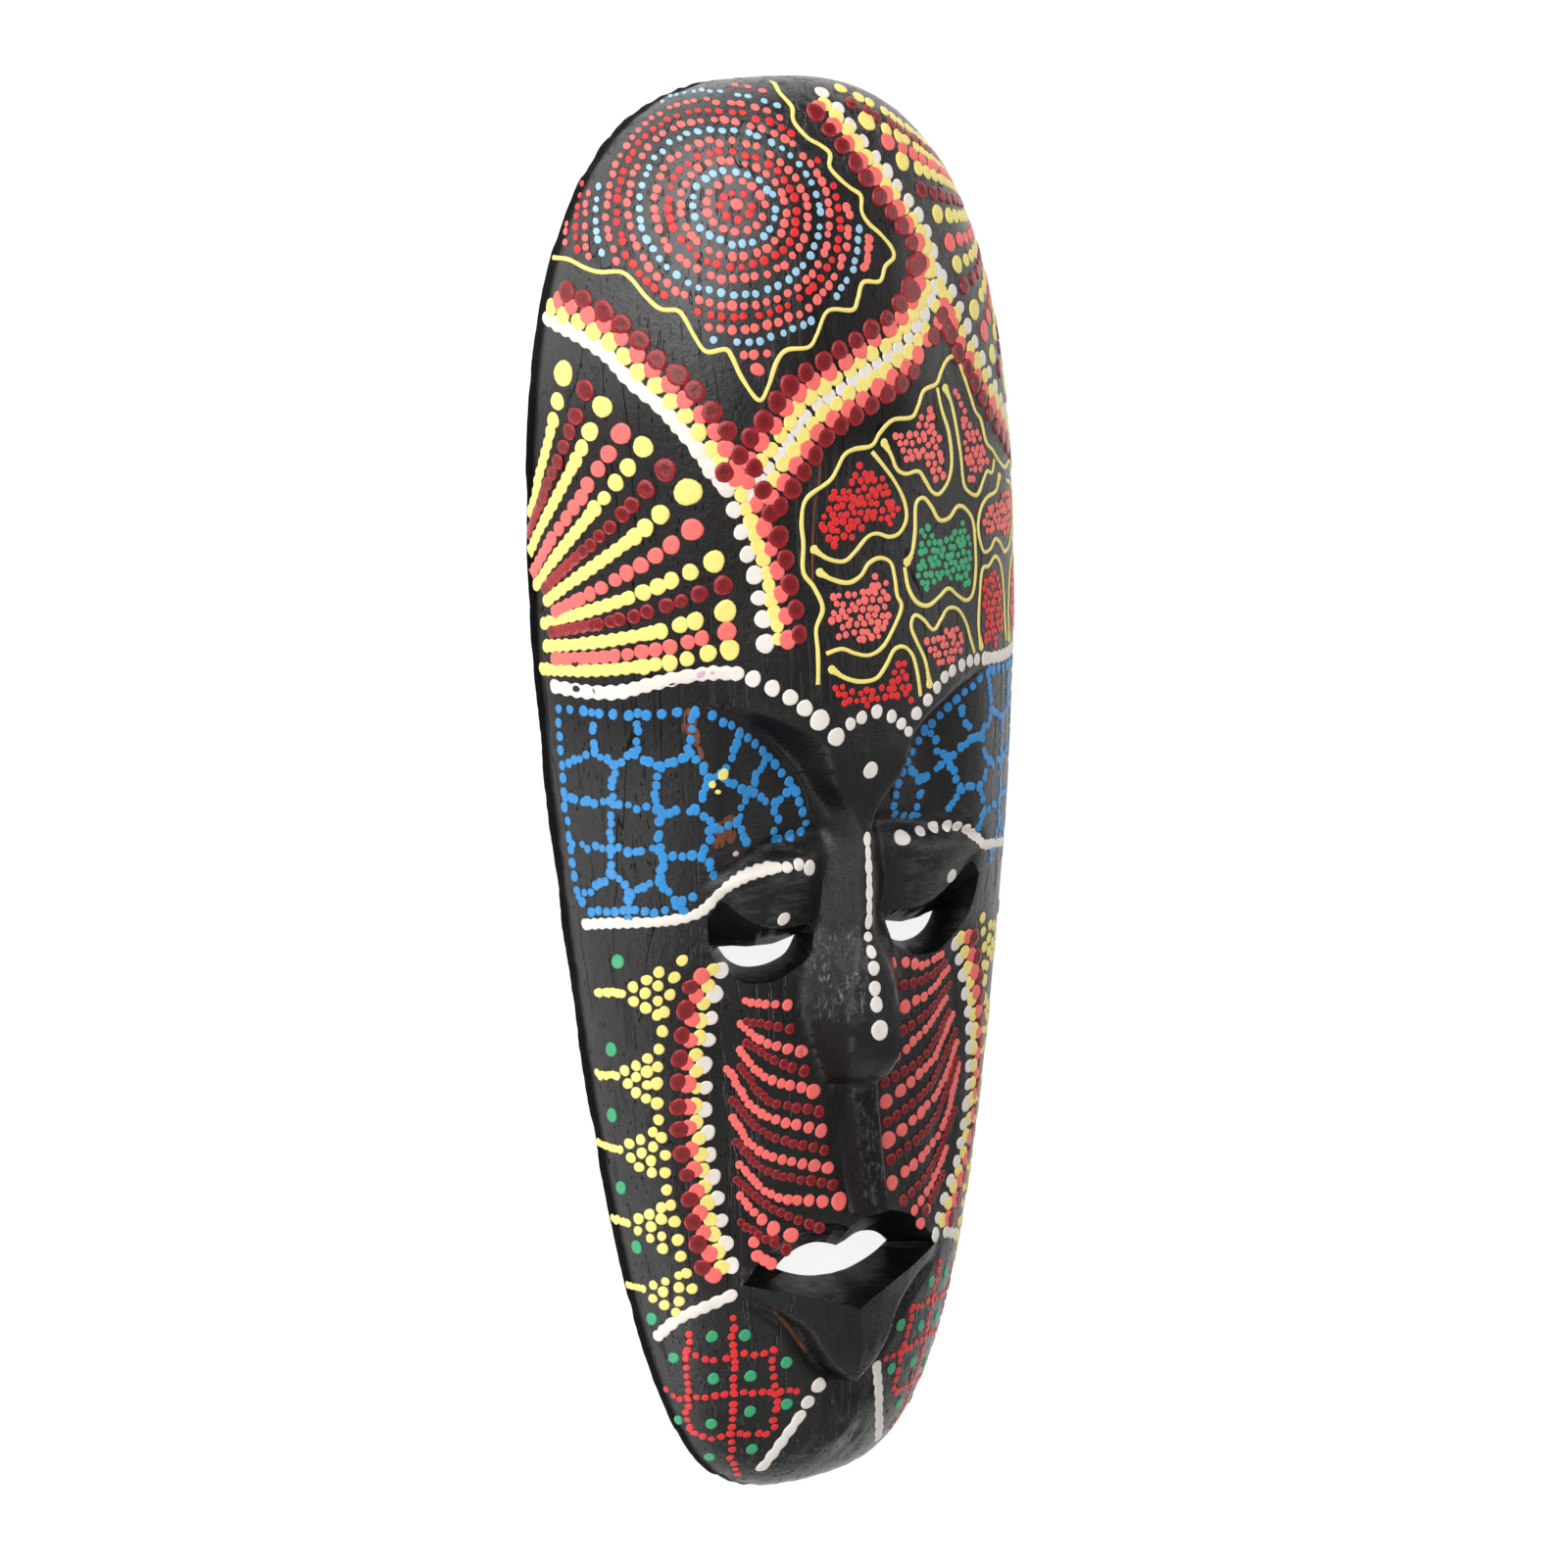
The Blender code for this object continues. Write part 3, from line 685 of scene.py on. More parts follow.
# A trail's cross-section: places from edge to edge, in half widths, and heights as shares of the full height
TRAIL_PLACES = np.array([-1.0, -1.0, -0.82, -0.42, 0.0, 0.42, 0.82, 1.0, 1.0])
TRAIL_HEIGHTS = np.array([-0.9, 0.05, 0.60, 0.92, 1.0, 0.92, 0.60, 0.05, -0.9])
TRAIL_END_SHARE = 0.3
TRAIL_STEP = 0.9
# Widths of a trail: the least and how much is added, as shares, and the length over which they change
TRAIL_LEAST = 0.88
TRAIL_SPREAD = 0.3
TRAIL_WAVE = 5.0
# Beaded lines: how narrow the necks are, how far beads are shifted, and their sizes, as shares
BEAD_STEP = 0.55
BEAD_NECK = 0.24
BEAD_SHIFT = 0.5
BEAD_LEAST = 0.9
BEAD_SPREAD = 0.2
# Drops keep off the ends of the mask and, by a share of their width, off its rim; lengths are in widths
PAINTED_HALF_HEIGHT = 247.5
RIM_ROOM = 0.6
DROP_LENGTHS = (0.96, 1.12)
CURVE_POINTS = 20
# Rays: steps between drops, in widths, at the wide end and at the crowded end; the share of the length after
# which drops run into each other, and how far it varies; in how many widths drops get smaller; the width and
# the pitch of the beads at the end, in narrow drops
RAY_OPENING = 1.2
RAY_CROWDING = 0.86
RAY_MERGED = {"yellow": 0.42, "coral": 0.72, "dark_red": 0.66}
RAY_MERGED_SPREAD = (0.85, 1.15)
RAY_TAPER = 1.5
RAY_TAIL_WIDTH = 0.94
RAY_TAIL_PITCH = 0.74
RAY_POINTS = 39
# Arcs: steps between drops, as on rays, how fast drops and gaps grow towards the wide end, and the step at
# which places are tried
ARC_OPENING = 1.12
ARC_CROWDING = 0.62
ARC_SIZE_POWER = 2.2
ARC_GAP_POWER = 0.8
ARC_STEP = 0.25
# Ropes: step at which the path is measured, and every how many of its points one leads a strand
ROPE_STEP = 0.5
ROPE_POINTS_APART = 8
# How far a wall between cells reaches from its middle, and the step at which it is tried
WALL_REACH = 12.0
WALL_STEP = 0.3
# Filled fields: distance between rows as a share of the step in a row, and how far drops stray
FILL_ROW_SHARE = 0.9
FILL_STRAY = 0.34


def curve(points, step):
    """Places about every step along a smooth curve through the points."""
    p = np.array(points, dtype=float)
    p = np.vstack([2.0 * p[0] - p[1], p, 2.0 * p[-1] - p[-2]])
    t = np.linspace(0.0, 1.0, CURVE_POINTS, endpoint=False)[:, None]
    fine = []
    for a, b, c, d in zip(p[:-3], p[1:-2], p[2:-1], p[3:]):
        bend = (2.0 * a - 5.0 * b + 4.0 * c - d) * t ** 2 + (3.0 * b - a - 3.0 * c + d) * t ** 3
        fine.append(b + 0.5 * ((c - a) * t + bend))
    fine = np.vstack(fine + [p[-2:-1]])
    along = np.concatenate([[0.0], np.cumsum(np.hypot(*np.diff(fine, axis=0).T))])
    places = np.linspace(0.0, along[-1], max(2, round(along[-1] / step) + 1))
    return np.column_stack([np.interp(places, along, fine[:, 0]), np.interp(places, along, fine[:, 1])])


def left_side(points):
    """Directions to the left-hand side of a curve, of length 1."""
    ahead = np.gradient(points, axis=0)
    ahead /= np.maximum(np.hypot(ahead[:, 0], ahead[:, 1]), 1e-6)[:, None]
    return np.column_stack([-ahead[:, 1], ahead[:, 0]])


def inside(polygon, s, y):
    """Whether places lie in a closed polygon."""
    found = np.zeros(np.shape(s), dtype=bool)
    for (s0, y0), (s1, y1) in zip(polygon, polygon[1:] + polygon[:1]):
        crosses = (y0 > y) != (y1 > y)
        edge = s0 + (y - y0) / (y1 - y0 if y1 != y0 else 1e-9) * (s1 - s0)
        found ^= crosses & (s < edge)
    return found


def mirrored(points, lift=0.0):
    return [(-s, y + lift) for s, y in points]


class Paint:
    """Everything painted, by colour: drops as (s, y, width, length, turn) and trails as (places, widths)."""

    def __init__(self):
        self.drops = {colour: [] for colour in PAINTS}
        self.trails = {colour: [] for colour in PAINTS}

    def dot(self, colour, s, y, width, length=None, turn=0.0):
        if reach_at(y) - abs(s) > RIM_ROOM * width and abs(y) < PAINTED_HALF_HEIGHT:
            self.drops[colour].append((s, y, width, length or width, turn))

    def listed(self, colour, drops):
        """Drops just as they are listed: (s, y, width), then the length and the turn if they matter."""
        for drop in drops:
            self.dot(colour, *drop)

    def dots(self, colour, places, width, stray=0.18, spread=0.07):
        """A drop at each place, a little out of line and of uneven size."""
        for s, y in places:
            shift = RANDOM.normal(0.0, stray, 2)
            size = width * (1.0 + RANDOM.normal(0.0, spread))
            self.dot(colour, s + shift[0], y + shift[1], size, size * RANDOM.uniform(*DROP_LENGTHS))

    def row(self, colour, points, width, step, **uneven):
        self.dots(colour, curve(points, step), width, **uneven)

    def ray(self, colour, start, end, wide, narrow, bend):
        """Drops that get smaller and closer together until they run into each other."""
        start, end = np.array(start, dtype=float), np.array(end, dtype=float)
        span = end - start
        length = np.hypot(*span)
        side = np.array([-span[1], span[0]]) / length
        share = np.linspace(0.0, 1.0, RAY_POINTS + 1)[:, None]
        line = start + span * share + side * bend * np.sin(math.pi * share)
        merged = RAY_MERGED[colour] * RANDOM.uniform(*RAY_MERGED_SPREAD)
        place = 0.0
        while place < merged * length:
            share = place / length
            size = between(narrow, wide, math.exp(-place / (RAY_TAPER * wide)) * (1.0 - share))
            at = line[round(RAY_POINTS * share)]
            self.dots(colour, [at], size, stray=0.15, spread=0.04)
            place += size * between(RAY_OPENING, RAY_CROWDING, share / merged)
        if merged < 1.0:
            tail = line[round(RAY_POINTS * merged):]
            self.beaded(colour, tail, RAY_TAIL_WIDTH * narrow, RAY_TAIL_PITCH * narrow)

    def ray_along(self, colour, points, wide, narrow):
        """Drops along a curve that get larger and further apart towards its end."""
        fine = curve(points, ARC_STEP)
        place = len(fine) - 1
        while place >= 0:
            share = place / len(fine)
            size = between(narrow, wide, share ** ARC_SIZE_POWER)
            self.dots(colour, [fine[place]], size, stray=0.18, spread=0.05)
            place -= round(size / ARC_STEP * between(ARC_CROWDING, ARC_OPENING, share ** ARC_GAP_POWER))

    def rope(self, points, strands):
        """Strands of drops side by side; each is (colour, offset, width, step, where it starts and ends)."""
        fine = curve(points, ROPE_STEP)
        for colour, offset, width, step, start, end in strands:
            line = (fine + offset * left_side(fine))[int(start * len(fine)):int(end * len(fine))]
            self.row(colour, line[::ROPE_POINTS_APART], width, step, stray=0.22)

    def trail(self, colour, points, width, start_drop=0.0):
        """A drawn line of paint, with a fat drop where the tip was set down."""
        line = curve(points, TRAIL_STEP)
        wave = noise(line[:, 0] / TRAIL_WAVE, line[:, 1] / TRAIL_WAVE, seed=31)
        self.trails[colour].append((line, width * (TRAIL_LEAST + TRAIL_SPREAD * wave)))
        if start_drop:
            self.dot(colour, *points[0], start_drop)

    def beaded(self, colour, points, width, pitch):
        """A line of drops that have run together: scalloped edges under one smooth skin."""
        line = curve(points, BEAD_STEP)
        along = np.arange(len(line)) * BEAD_STEP / pitch
        along = along + BEAD_SHIFT * noise(along / 2.0, along * 0.0 + width, seed=41)
        bead = 1.0 - BEAD_NECK * np.abs(np.cos(math.pi * along)) ** 3
        size = BEAD_LEAST + BEAD_SPREAD * noise(along / 1.5, along * 0.0 + pitch, seed=42)
        self.trails[colour].append((line, width * bead * size))
        self.dot(colour, *line[0], width)
        self.dot(colour, *line[-1], width)

    def fill(self, colour, polygon, width, step):
        """Crowded drops inside a closed outline."""
        low = np.min(polygon, axis=0)
        high = np.max(polygon, axis=0)
        for number, y in enumerate(np.arange(low[1], high[1] + step, FILL_ROW_SHARE * step)):
            for s in np.arange(low[0] + 0.5 * step * (number % 2), high[0] + step, step):
                at = (s, y) + RANDOM.normal(0.0, FILL_STRAY, 2)
                if inside(polygon, *at):
                    self.dots(colour, [at], width, stray=0.0, spread=0.1)

    def walls(self, colour, centres, field, width, step):
        """Lines of drops half way between neighbouring cells, inside a closed outline."""
        centres = np.array(centres, dtype=float)
        along = np.arange(-WALL_REACH, WALL_REACH, WALL_STEP)[:, None]
        for first, second in itertools.combinations(range(len(centres)), 2):
            apart = centres[second] - centres[first]
            length = np.hypot(*apart)
            if length > 2.0 * WALL_REACH:
                continue
            side = np.array([-apart[1], apart[0]]) / length
            line = 0.5 * (centres[first] + centres[second]) + along * side
            far = np.hypot(*np.moveaxis(line[:, None, :] - centres[None, :, :], -1, 0))
            line = line[(far[:, first] <= far.min(axis=1) + 1e-6) & inside(field, line[:, 0], line[:, 1])]
            if len(line) > 4:
                count = max(2, round(WALL_STEP * len(line) / step) + 1)
                places = np.linspace(0, len(line) - 1, count)
                self.dots(colour, line[places.astype(int)], width, stray=0.55, spread=0.09)


def drop_parts(drops, height):
    """Points and faces of each drop of one colour."""
    s, y, width, length, turn = np.array(drops, dtype=float).T
    angle = np.linspace(0.0, 2.0 * math.pi, DROP_POINTS, endpoint=False)[None, :]
    phase = RANDOM.uniform(0.0, 2.0 * math.pi, (len(DROP_WAVES), len(s), 1))
    uneven = 1.0
    for (waves, amount), start in zip(DROP_WAVES, phase):
        uneven = uneven + amount * np.cos(waves * angle + start)
    round_s = 0.5 * width[:, None] * uneven * np.cos(angle)
    round_y = 0.5 * length[:, None] * uneven * np.sin(angle)
    stretch_s, stretch_y = stretch(s, y)
    cosine, sine = np.cos(turn)[:, None], np.sin(turn)[:, None]
    out_s = (round_s * cosine - round_y * sine) / stretch_s[:, None]
    out_y = (round_s * sine + round_y * cosine) / stretch_y[:, None]
    tall = (height * np.clip(width / FULL_DROP_WIDTH, *DROP_HEIGHT_SHARES))[:, None]
    out = normal(s, y)
    middle = surface(s, y)
    rings = []
    for share, rise in DROP_RINGS:
        points = surface(s[:, None] + share * out_s, y[:, None] + share * out_y)
        rings.append(points + (tall * rise)[..., None] * out[:, None, :])
    ends = np.stack([middle + DROP_MIDDLE * tall * out, middle + DROP_RINGS[0][1] * tall * out], axis=1)
    points = np.concatenate(rings + [ends], axis=1)
    top = len(DROP_RINGS) * DROP_POINTS
    faces = grid_faces(len(DROP_RINGS), DROP_POINTS, closed=True)
    for step in range(DROP_POINTS):
        following = (step + 1) % DROP_POINTS
        faces.append((top - DROP_POINTS + step, top - DROP_POINTS + following, top))
        faces.append((following, step, top + 1))
    return [(drop, faces) for drop in points]


def trail_parts(line, width, height):
    """Points and faces of one trail; its width is given at each of its places."""
    side = -0.5 * width[:, None] * left_side(line)
    place = line[:, None, :] + TRAIL_PLACES[None, :, None] * side[:, None, :]
    tall = np.full(len(line), height)
    tall[[0, -1]] *= TRAIL_END_SHARE
    out = normal(line[:, 0], line[:, 1])
    points = surface(place[..., 0], place[..., 1])
    points = points + tall[:, None, None] * TRAIL_HEIGHTS[None, :, None] * out[:, None, :]
    wide = len(TRAIL_PLACES)
    faces = grid_faces(len(line), wide, closed=True)
    faces.append(tuple(range(wide))[::-1])
    faces.append(tuple(range((len(line) - 1) * wide, len(line) * wide)))
    return points.reshape(-1, 3), faces


def paint_piece(paint, colour, material):
    """One piece with all the drops and trails of a colour."""
    drops, height = paint.drops[colour], PAINTS[colour][0]
    parts = drop_parts(drops, height)
    parts += [trail_parts(line, width, height) for line, width in paint.trails[colour]]
    points, faces, start = [], [], 0
    for some_points, some_faces in parts:
        points.append(some_points)
        faces += [tuple(point + start for point in face) for face in some_faces]
        start += len(some_points)
    mesh = new_mesh(colour + "_paint", np.concatenate(points), faces, [material])
    # Where a drop's paint lies deepest, which darkens a clear colour
    one_drop = np.append(np.repeat(DROP_RING_POOLS, DROP_POINTS), (1.0, 0.0))
    pools = np.tile(one_drop, len(drops))
    middle = mesh.attributes.new("middle", "FLOAT", "POINT")
    middle.data.foreach_set("value", np.append(pools, np.zeros(start - len(pools))))
    smooth(mesh, SHARP_PAINT_ANGLE)
    return new_object(mesh.name, mesh)


# Target of rings at the upper left
TARGET = (-37.0, 209.0)
TARGET_DRIFT = (-0.065, -0.075)
TARGET_FLATNESS = 0.865
TARGET_COLOURS = ("red", "coral", "light_blue", "coral")
TARGET_RADII = [5, 9.5, 13.7, 17.6, 21.4, 25.6, 30.5, 34.6, 38.4, 42.4, 46.8, 51.6, 56, 61.5]
RING_STEP = 3.7
RING_STRAY = 0.25
RING_UNEVEN = 0.09
RING_START = 0.4
# Wide rings have a gap, in degrees, and the widest are short arcs
WIDE_RING = 44.0
WIDE_RING_GAP = (118.0, 165.0)
WIDEST_RING = 55.0
WIDEST_RING_SPAN = (165.0, 200.0)
BORDER_ROOM = 3.2
BORDER_STEP = 1.5
RING_DROP = {"red": 2.7, "coral": 2.8, "light_blue": 2.5}
WAVE = [
    (-108.3, 193.3), (-100, 192.8), (-91.7, 190), (-86, 188.7), (-78.3, 188.7), (-74.4, 186), (-70.6, 181),
    (-66, 176.7), (-60.5, 176), (-58.3, 173.3), (-55.5, 167.2), (-52.2, 162.5), (-46, 163), (-44, 160.5),
    (-41, 153.3), (-35.8, 146), (-32.2, 150.5), (-29, 157.8), (-25, 161.7), (-17.2, 162.2), (-13.9, 166),
    (-10.5, 172.2), (-7.2, 173.9), (0.5, 173.3), (2.8, 176.7), (5.5, 182), (12.2, 182), (15, 186.7),
    (18.9, 189.4), (18.3, 192.8), (14.4, 197.2), (10, 201), (7.8, 205), (8.3, 210), (4.4, 212.8), (0, 216.7),
    (-2.2, 220), (-1.1, 223.9), (-3.9, 226.7), (-7.8, 229), (-10.5, 232.2), (-11.7, 236), (-10.5, 239.4),
    (-12.2, 244.4), (-10.5, 248),
]
TARGET_CORNERS = [(-20, 262), (-135, 262), (-135, 193)]


def on_ring(radius, degrees):
    """Whether a ring of the target goes through this direction."""
    if radius > WIDEST_RING:
        return WIDEST_RING_SPAN[0] < degrees < WIDEST_RING_SPAN[1]
    return radius <= WIDE_RING or not WIDE_RING_GAP[0] < degrees < WIDE_RING_GAP[1]


def paint_target(paint):
    field = WAVE + TARGET_CORNERS
    border = curve(WAVE, BORDER_STEP)
    paint.dot("coral", *TARGET, 4.2)
    for number, radius in enumerate(TARGET_RADII):
        colour = TARGET_COLOURS[number % 4]
        centre = np.array(TARGET) + radius * np.array(TARGET_DRIFT)
        count = round(math.pi * radius * (1.0 + TARGET_FLATNESS) / RING_STEP)
        shares = (np.arange(count) + RANDOM.normal(0.0, RING_UNEVEN, count)) / count
        turns = 2.0 * math.pi * shares + RING_START * number
        for turn in turns:
            s = centre[0] + radius * math.cos(turn) + RANDOM.normal(0.0, RING_STRAY)
            y = centre[1] + TARGET_FLATNESS * radius * math.sin(turn) + RANDOM.normal(0.0, RING_STRAY)
            near = np.hypot(border[:, 0] - s, border[:, 1] - y).min()
            if on_ring(radius, math.degrees(turn) % 360.0) and inside(field, s, y) and near > BORDER_ROOM:
                paint.dots(colour, [(s, y)], RING_DROP[colour], stray=0.0, spread=0.09)
    paint.row("coral", [(9.0, 196.5), (8.2, 191.0), (7.2, 187.0)], 2.6, 2.0)
    paint.dot("coral", -35.7, 156.0, 4.0, 5.2, 1.2)
    paint.trail("yellow", WAVE, 1.45, start_drop=1.9)


# Ropes: the path of the white strand of each, then the strands
LEFT_ROPE = [
    (-111, 174), (-104, 171.5), (-97, 169), (-86, 163), (-78, 154), (-70, 147), (-63, 139), (-58, 132.5),
    (-53.5, 125.5), (-49, 119), (-46.5, 112), (-44.3, 104.5), (-42, 97), (-40, 89.5), (-39, 81.5),
    (-38, 73.5), (-37.8, 64),
]
RIGHT_ROPE = [
    (-40.5, 116), (-36, 121), (-31, 127), (-25, 133.5), (-19.5, 140), (-13, 144.8), (-6, 148), (4, 153),
    (15, 158.5), (22, 162.5), (28, 167.5), (33, 173), (37, 180), (38, 188), (36, 196), (31.5, 203.5),
    (26.5, 210), (22.5, 215), (18, 221.5), (13, 228.5), (9, 234.5), (6, 239.5), (3.5, 244.5),
]
LOWER_ROPE = [
    (41, 182), (46, 177), (51, 168.5), (54, 163), (59, 157), (65, 150), (71, 143.5), (78, 137.5), (86, 132),
    (95, 127), (105, 122.5), (115, 119),
]
LEFT_ROPE_STRANDS = [
    ("white", 0, 5.6, 7.6, 0.5, 1), ("yellow", 4, 5.9, 6.7, 0.01, 0.54), ("yellow", 4.2, 5, 4.4, 0.55, 1),
    ("coral", 7.7, 6.2, 7.3, 0.03, 0.55), ("coral", 7.6, 5.7, 7.8, 0.58, 1),
    ("dark_red", 11.3, 7.1, 7.7, 0.05, 0.52), ("dark_red", 11.4, 6.6, 8, 0.6, 0.97),
]
RIGHT_ROPE_STRANDS = [
    ("white", 0, 5, 5.3, 0, 0.56), ("white", 0, 5, 6.6, 0.57, 1), ("yellow", 3.6, 5.7, 5.5, 0.06, 0.62),
    ("yellow", 3, 5.5, 5.3, 0.62, 1), ("yellow", -3.5, 5.6, 5.5, 0.02, 0.5),
    ("coral", 7.1, 6.3, 6.8, 0.01, 0.62), ("coral", 5.8, 6.1, 6.6, 0.62, 1),
    ("coral", -7, 6.1, 6.8, 0.02, 0.46), ("dark_red", 10.8, 7, 7.3, 0, 0.62),
    ("dark_red", 8.6, 6.7, 7, 0.62, 1), ("dark_red", -10.6, 6.7, 7.2, 0.02, 0.44),
]
LOWER_ROPE_STRANDS = [
    ("white", 0, 4.9, 7, 0, 1), ("yellow", -3.6, 5.4, 6.6, 0, 1), ("coral", -7, 5.9, 7.4, 0.08, 1),
    ("dark_red", -10.4, 6.5, 7.6, 0.1, 1),
]
# Where the ropes part: one large drop as (s, y, width), then colour, width and places of those around it
ROPE_KNOT = (25, 178, 9)
ROPE_PARTING = [
    ("dark_red", 6.4, [(34, 163), (41, 165.5)]),
    ("coral", 5.8, [(31, 161.5), (37, 167), (43.5, 170)]),
    ("yellow", 5.4, [(28.5, 174), (36, 172.5), (40, 177), (35.5, 184.5)]),
]


def paint_ropes(paint):
    paint.rope(LEFT_ROPE, LEFT_ROPE_STRANDS)
    paint.beaded("white", LEFT_ROPE[:10], 5.3, 4.6)
    paint.rope(RIGHT_ROPE, RIGHT_ROPE_STRANDS)
    paint.rope(LOWER_ROPE, LOWER_ROPE_STRANDS)
    paint.dot("dark_red", *ROPE_KNOT)
    for colour, width, places in ROPE_PARTING:
        paint.dots(colour, places, width)


# Fans: start and end of each ray, with the width of its first drop
FAN_COLOURS = ("yellow", "dark_red", "yellow", "coral")
LEFT_FAN = [
    ((-103, 156), (-124, 109), 8), ((-94, 150.5), (-125, 102), 7.2), ((-88, 145.5), (-124, 96.5), 7.4),
    ((-82, 137), (-123, 89.5), 6.9), ((-75, 132.5), (-120, 86.5), 7.3), ((-68, 125), (-115, 85.5), 7.4),
    ((-61, 117.5), (-114, 81.5), 9), ((-60, 105), (-110, 78), 7), ((-53, 94.5), (-116, 73.5), 7.4),
    ((-50.5, 86.5), (-112, 71), 6.6), ((-50, 77.5), (-115, 66), 7.8), ((-50, 71), (-111, 62), 6),
    ((-49, 65), (-118, 58), 6.6),
]
LEFT_FAN_BEND = 1.6
LEFT_FAN_NARROW = 4.9
RIGHT_FAN = [
    ((13, 245), 5.6), ((13.5, 240), 5.2), ((17.5, 234), 6.6), ((24.5, 227), 6.2), ((29.5, 220.5), 6.4),
    ((36, 211), 6), ((43, 202.5), 6.4), ((48, 193), 6.2), ((51, 185.5), 6), ((54, 178), 6.4),
    ((59, 170), 7.2), ((65.5, 162), 6.8), ((72, 154), 7.4), ((80, 148.5), 7), ((88, 143), 7.2),
    ((96.5, 138), 6.6), ((105, 133), 6.6),
]
RIGHT_FAN_CENTRE = (109.0, 204.0)
RIGHT_FAN_GAP = 17.0
RIGHT_FAN_BEND = -2.0
RIGHT_FAN_NARROW = 4.3


def paint_fans(paint):
    for number, (start, end, width) in enumerate(LEFT_FAN):
        paint.ray(FAN_COLOURS[number % 4], start, end, width, LEFT_FAN_NARROW, LEFT_FAN_BEND)
    centre = np.array(RIGHT_FAN_CENTRE)
    for number, (start, width) in enumerate(RIGHT_FAN):
        away = np.array(start) - centre
        end = centre + away * RIGHT_FAN_GAP / np.hypot(*away)
        paint.ray(FAN_COLOURS[number % 4], start, end, width, RIGHT_FAN_NARROW, RIGHT_FAN_BEND)


# Cells on the forehead: yellow lines with a fat drop at one end, and the dotted fields between them
CELL_LINES = [
    [(-20.5, 51.5), (-20, 62), (-20, 70), (-17, 76.5), (-19.5, 83.5), (-23, 89), (-22.3, 98), (-22.6, 106),
     (-20.5, 113), (-12, 118), (-9, 121.5), (-6, 126), (-2, 127.8), (5, 128.5), (8.5, 132.5), (14, 136.3),
     (22, 136.6), (25, 140), (28, 145), (34, 146.8), (36.5, 150.5), (39.5, 154), (43, 155.3), (46, 153.5),
     (49, 147.5), (52, 141), (54.5, 136), (58, 132.5), (61, 125), (66, 121.5), (71, 117.5), (78, 114.5),
     (86, 116), (95, 113), (104, 114), (113, 110)],
    [(-18.5, 96), (-13.5, 92.5), (-7.5, 91.2), (-3, 94), (2, 98.3), (6, 99.2), (11, 97.6), (15.5, 98.8),
     (18.4, 103.5), (17.2, 110), (13, 117), (8.5, 122.5), (5, 126.5)],
    [(-17, 88.3), (-12.5, 85.6), (-6.5, 84), (-1.5, 85.8), (2, 89.6), (6.5, 91), (10.8, 89), (12, 83.5),
     (12.4, 78), (13.8, 74), (10, 67.5), (5, 61.5), (-0.5, 59.3), (-6, 60.5), (-11, 62.5), (-17, 61.5)],
    [(-15.2, 56), (-10, 52.6), (-4, 50.8), (2, 51.3), (6, 55.2), (9.5, 60), (13.5, 60.7), (17, 57.5),
     (19, 51), (20.4, 43)],
    [(10, 129), (12.8, 124.5), (14.8, 120), (18.5, 118), (24, 118.4), (27, 115), (30, 111), (33.5, 110),
     (38, 114), (40, 120.5), (39, 130), (36, 138), (34.3, 145.5)],
    [(17.5, 88.5), (20, 91.5), (21.8, 98.5), (22.6, 107.5), (26, 109.3), (29.5, 106), (33, 101.2),
     (38, 101.4), (42.5, 104.8), (47, 103.4), (51, 98.5), (52, 90), (52, 82), (50, 74.5), (46, 72.3),
     (41, 74.5), (36, 77.7), (31, 75.5), (25.5, 73.2), (20.5, 74.8), (17.3, 80), (16.4, 87)],
    [(38.2, 145), (41, 139.5), (43, 131.5), (44.8, 122), (46, 112.5), (49, 109), (54, 107.6), (58, 112),
     (61, 115), (64.5, 114), (67, 118.5)],
    [(24.4, 46.5), (22.5, 55), (19.3, 61.5), (17.2, 67), (19, 70.6), (22.5, 69), (27, 64.8), (31, 67.8),
     (35, 71), (40.5, 70), (45, 65), (48, 58.5), (50.5, 53.5)],
    [(71, 112), (67.5, 107.5), (60.5, 106), (56, 102.5), (54, 96), (57, 88), (62, 88), (66, 91), (70.5, 89),
     (75, 85.5), (81, 87), (86, 91), (90, 96), (90.5, 103), (86, 108), (79, 110)],
    [(55, 55), (53.3, 62), (54, 71), (56.2, 81.5), (60.5, 82.3), (66, 85), (71, 80.5), (73.5, 71), (74.5, 62),
     (76.5, 54)],
    [(80.5, 54), (79, 63), (80, 72), (83, 80), (88, 83.5), (94, 81.5), (98, 75), (99.5, 66), (100, 55)],
    [(97, 108), (94.5, 102), (95, 95), (98.5, 88.5), (104, 86), (110, 88), (115, 92)],
    [(105, 54), (104, 62), (105.5, 71), (109, 79), (115, 82)],
]
CELL_LINE_DROPS = (2.8, 2.4, 2.0, 1.7)
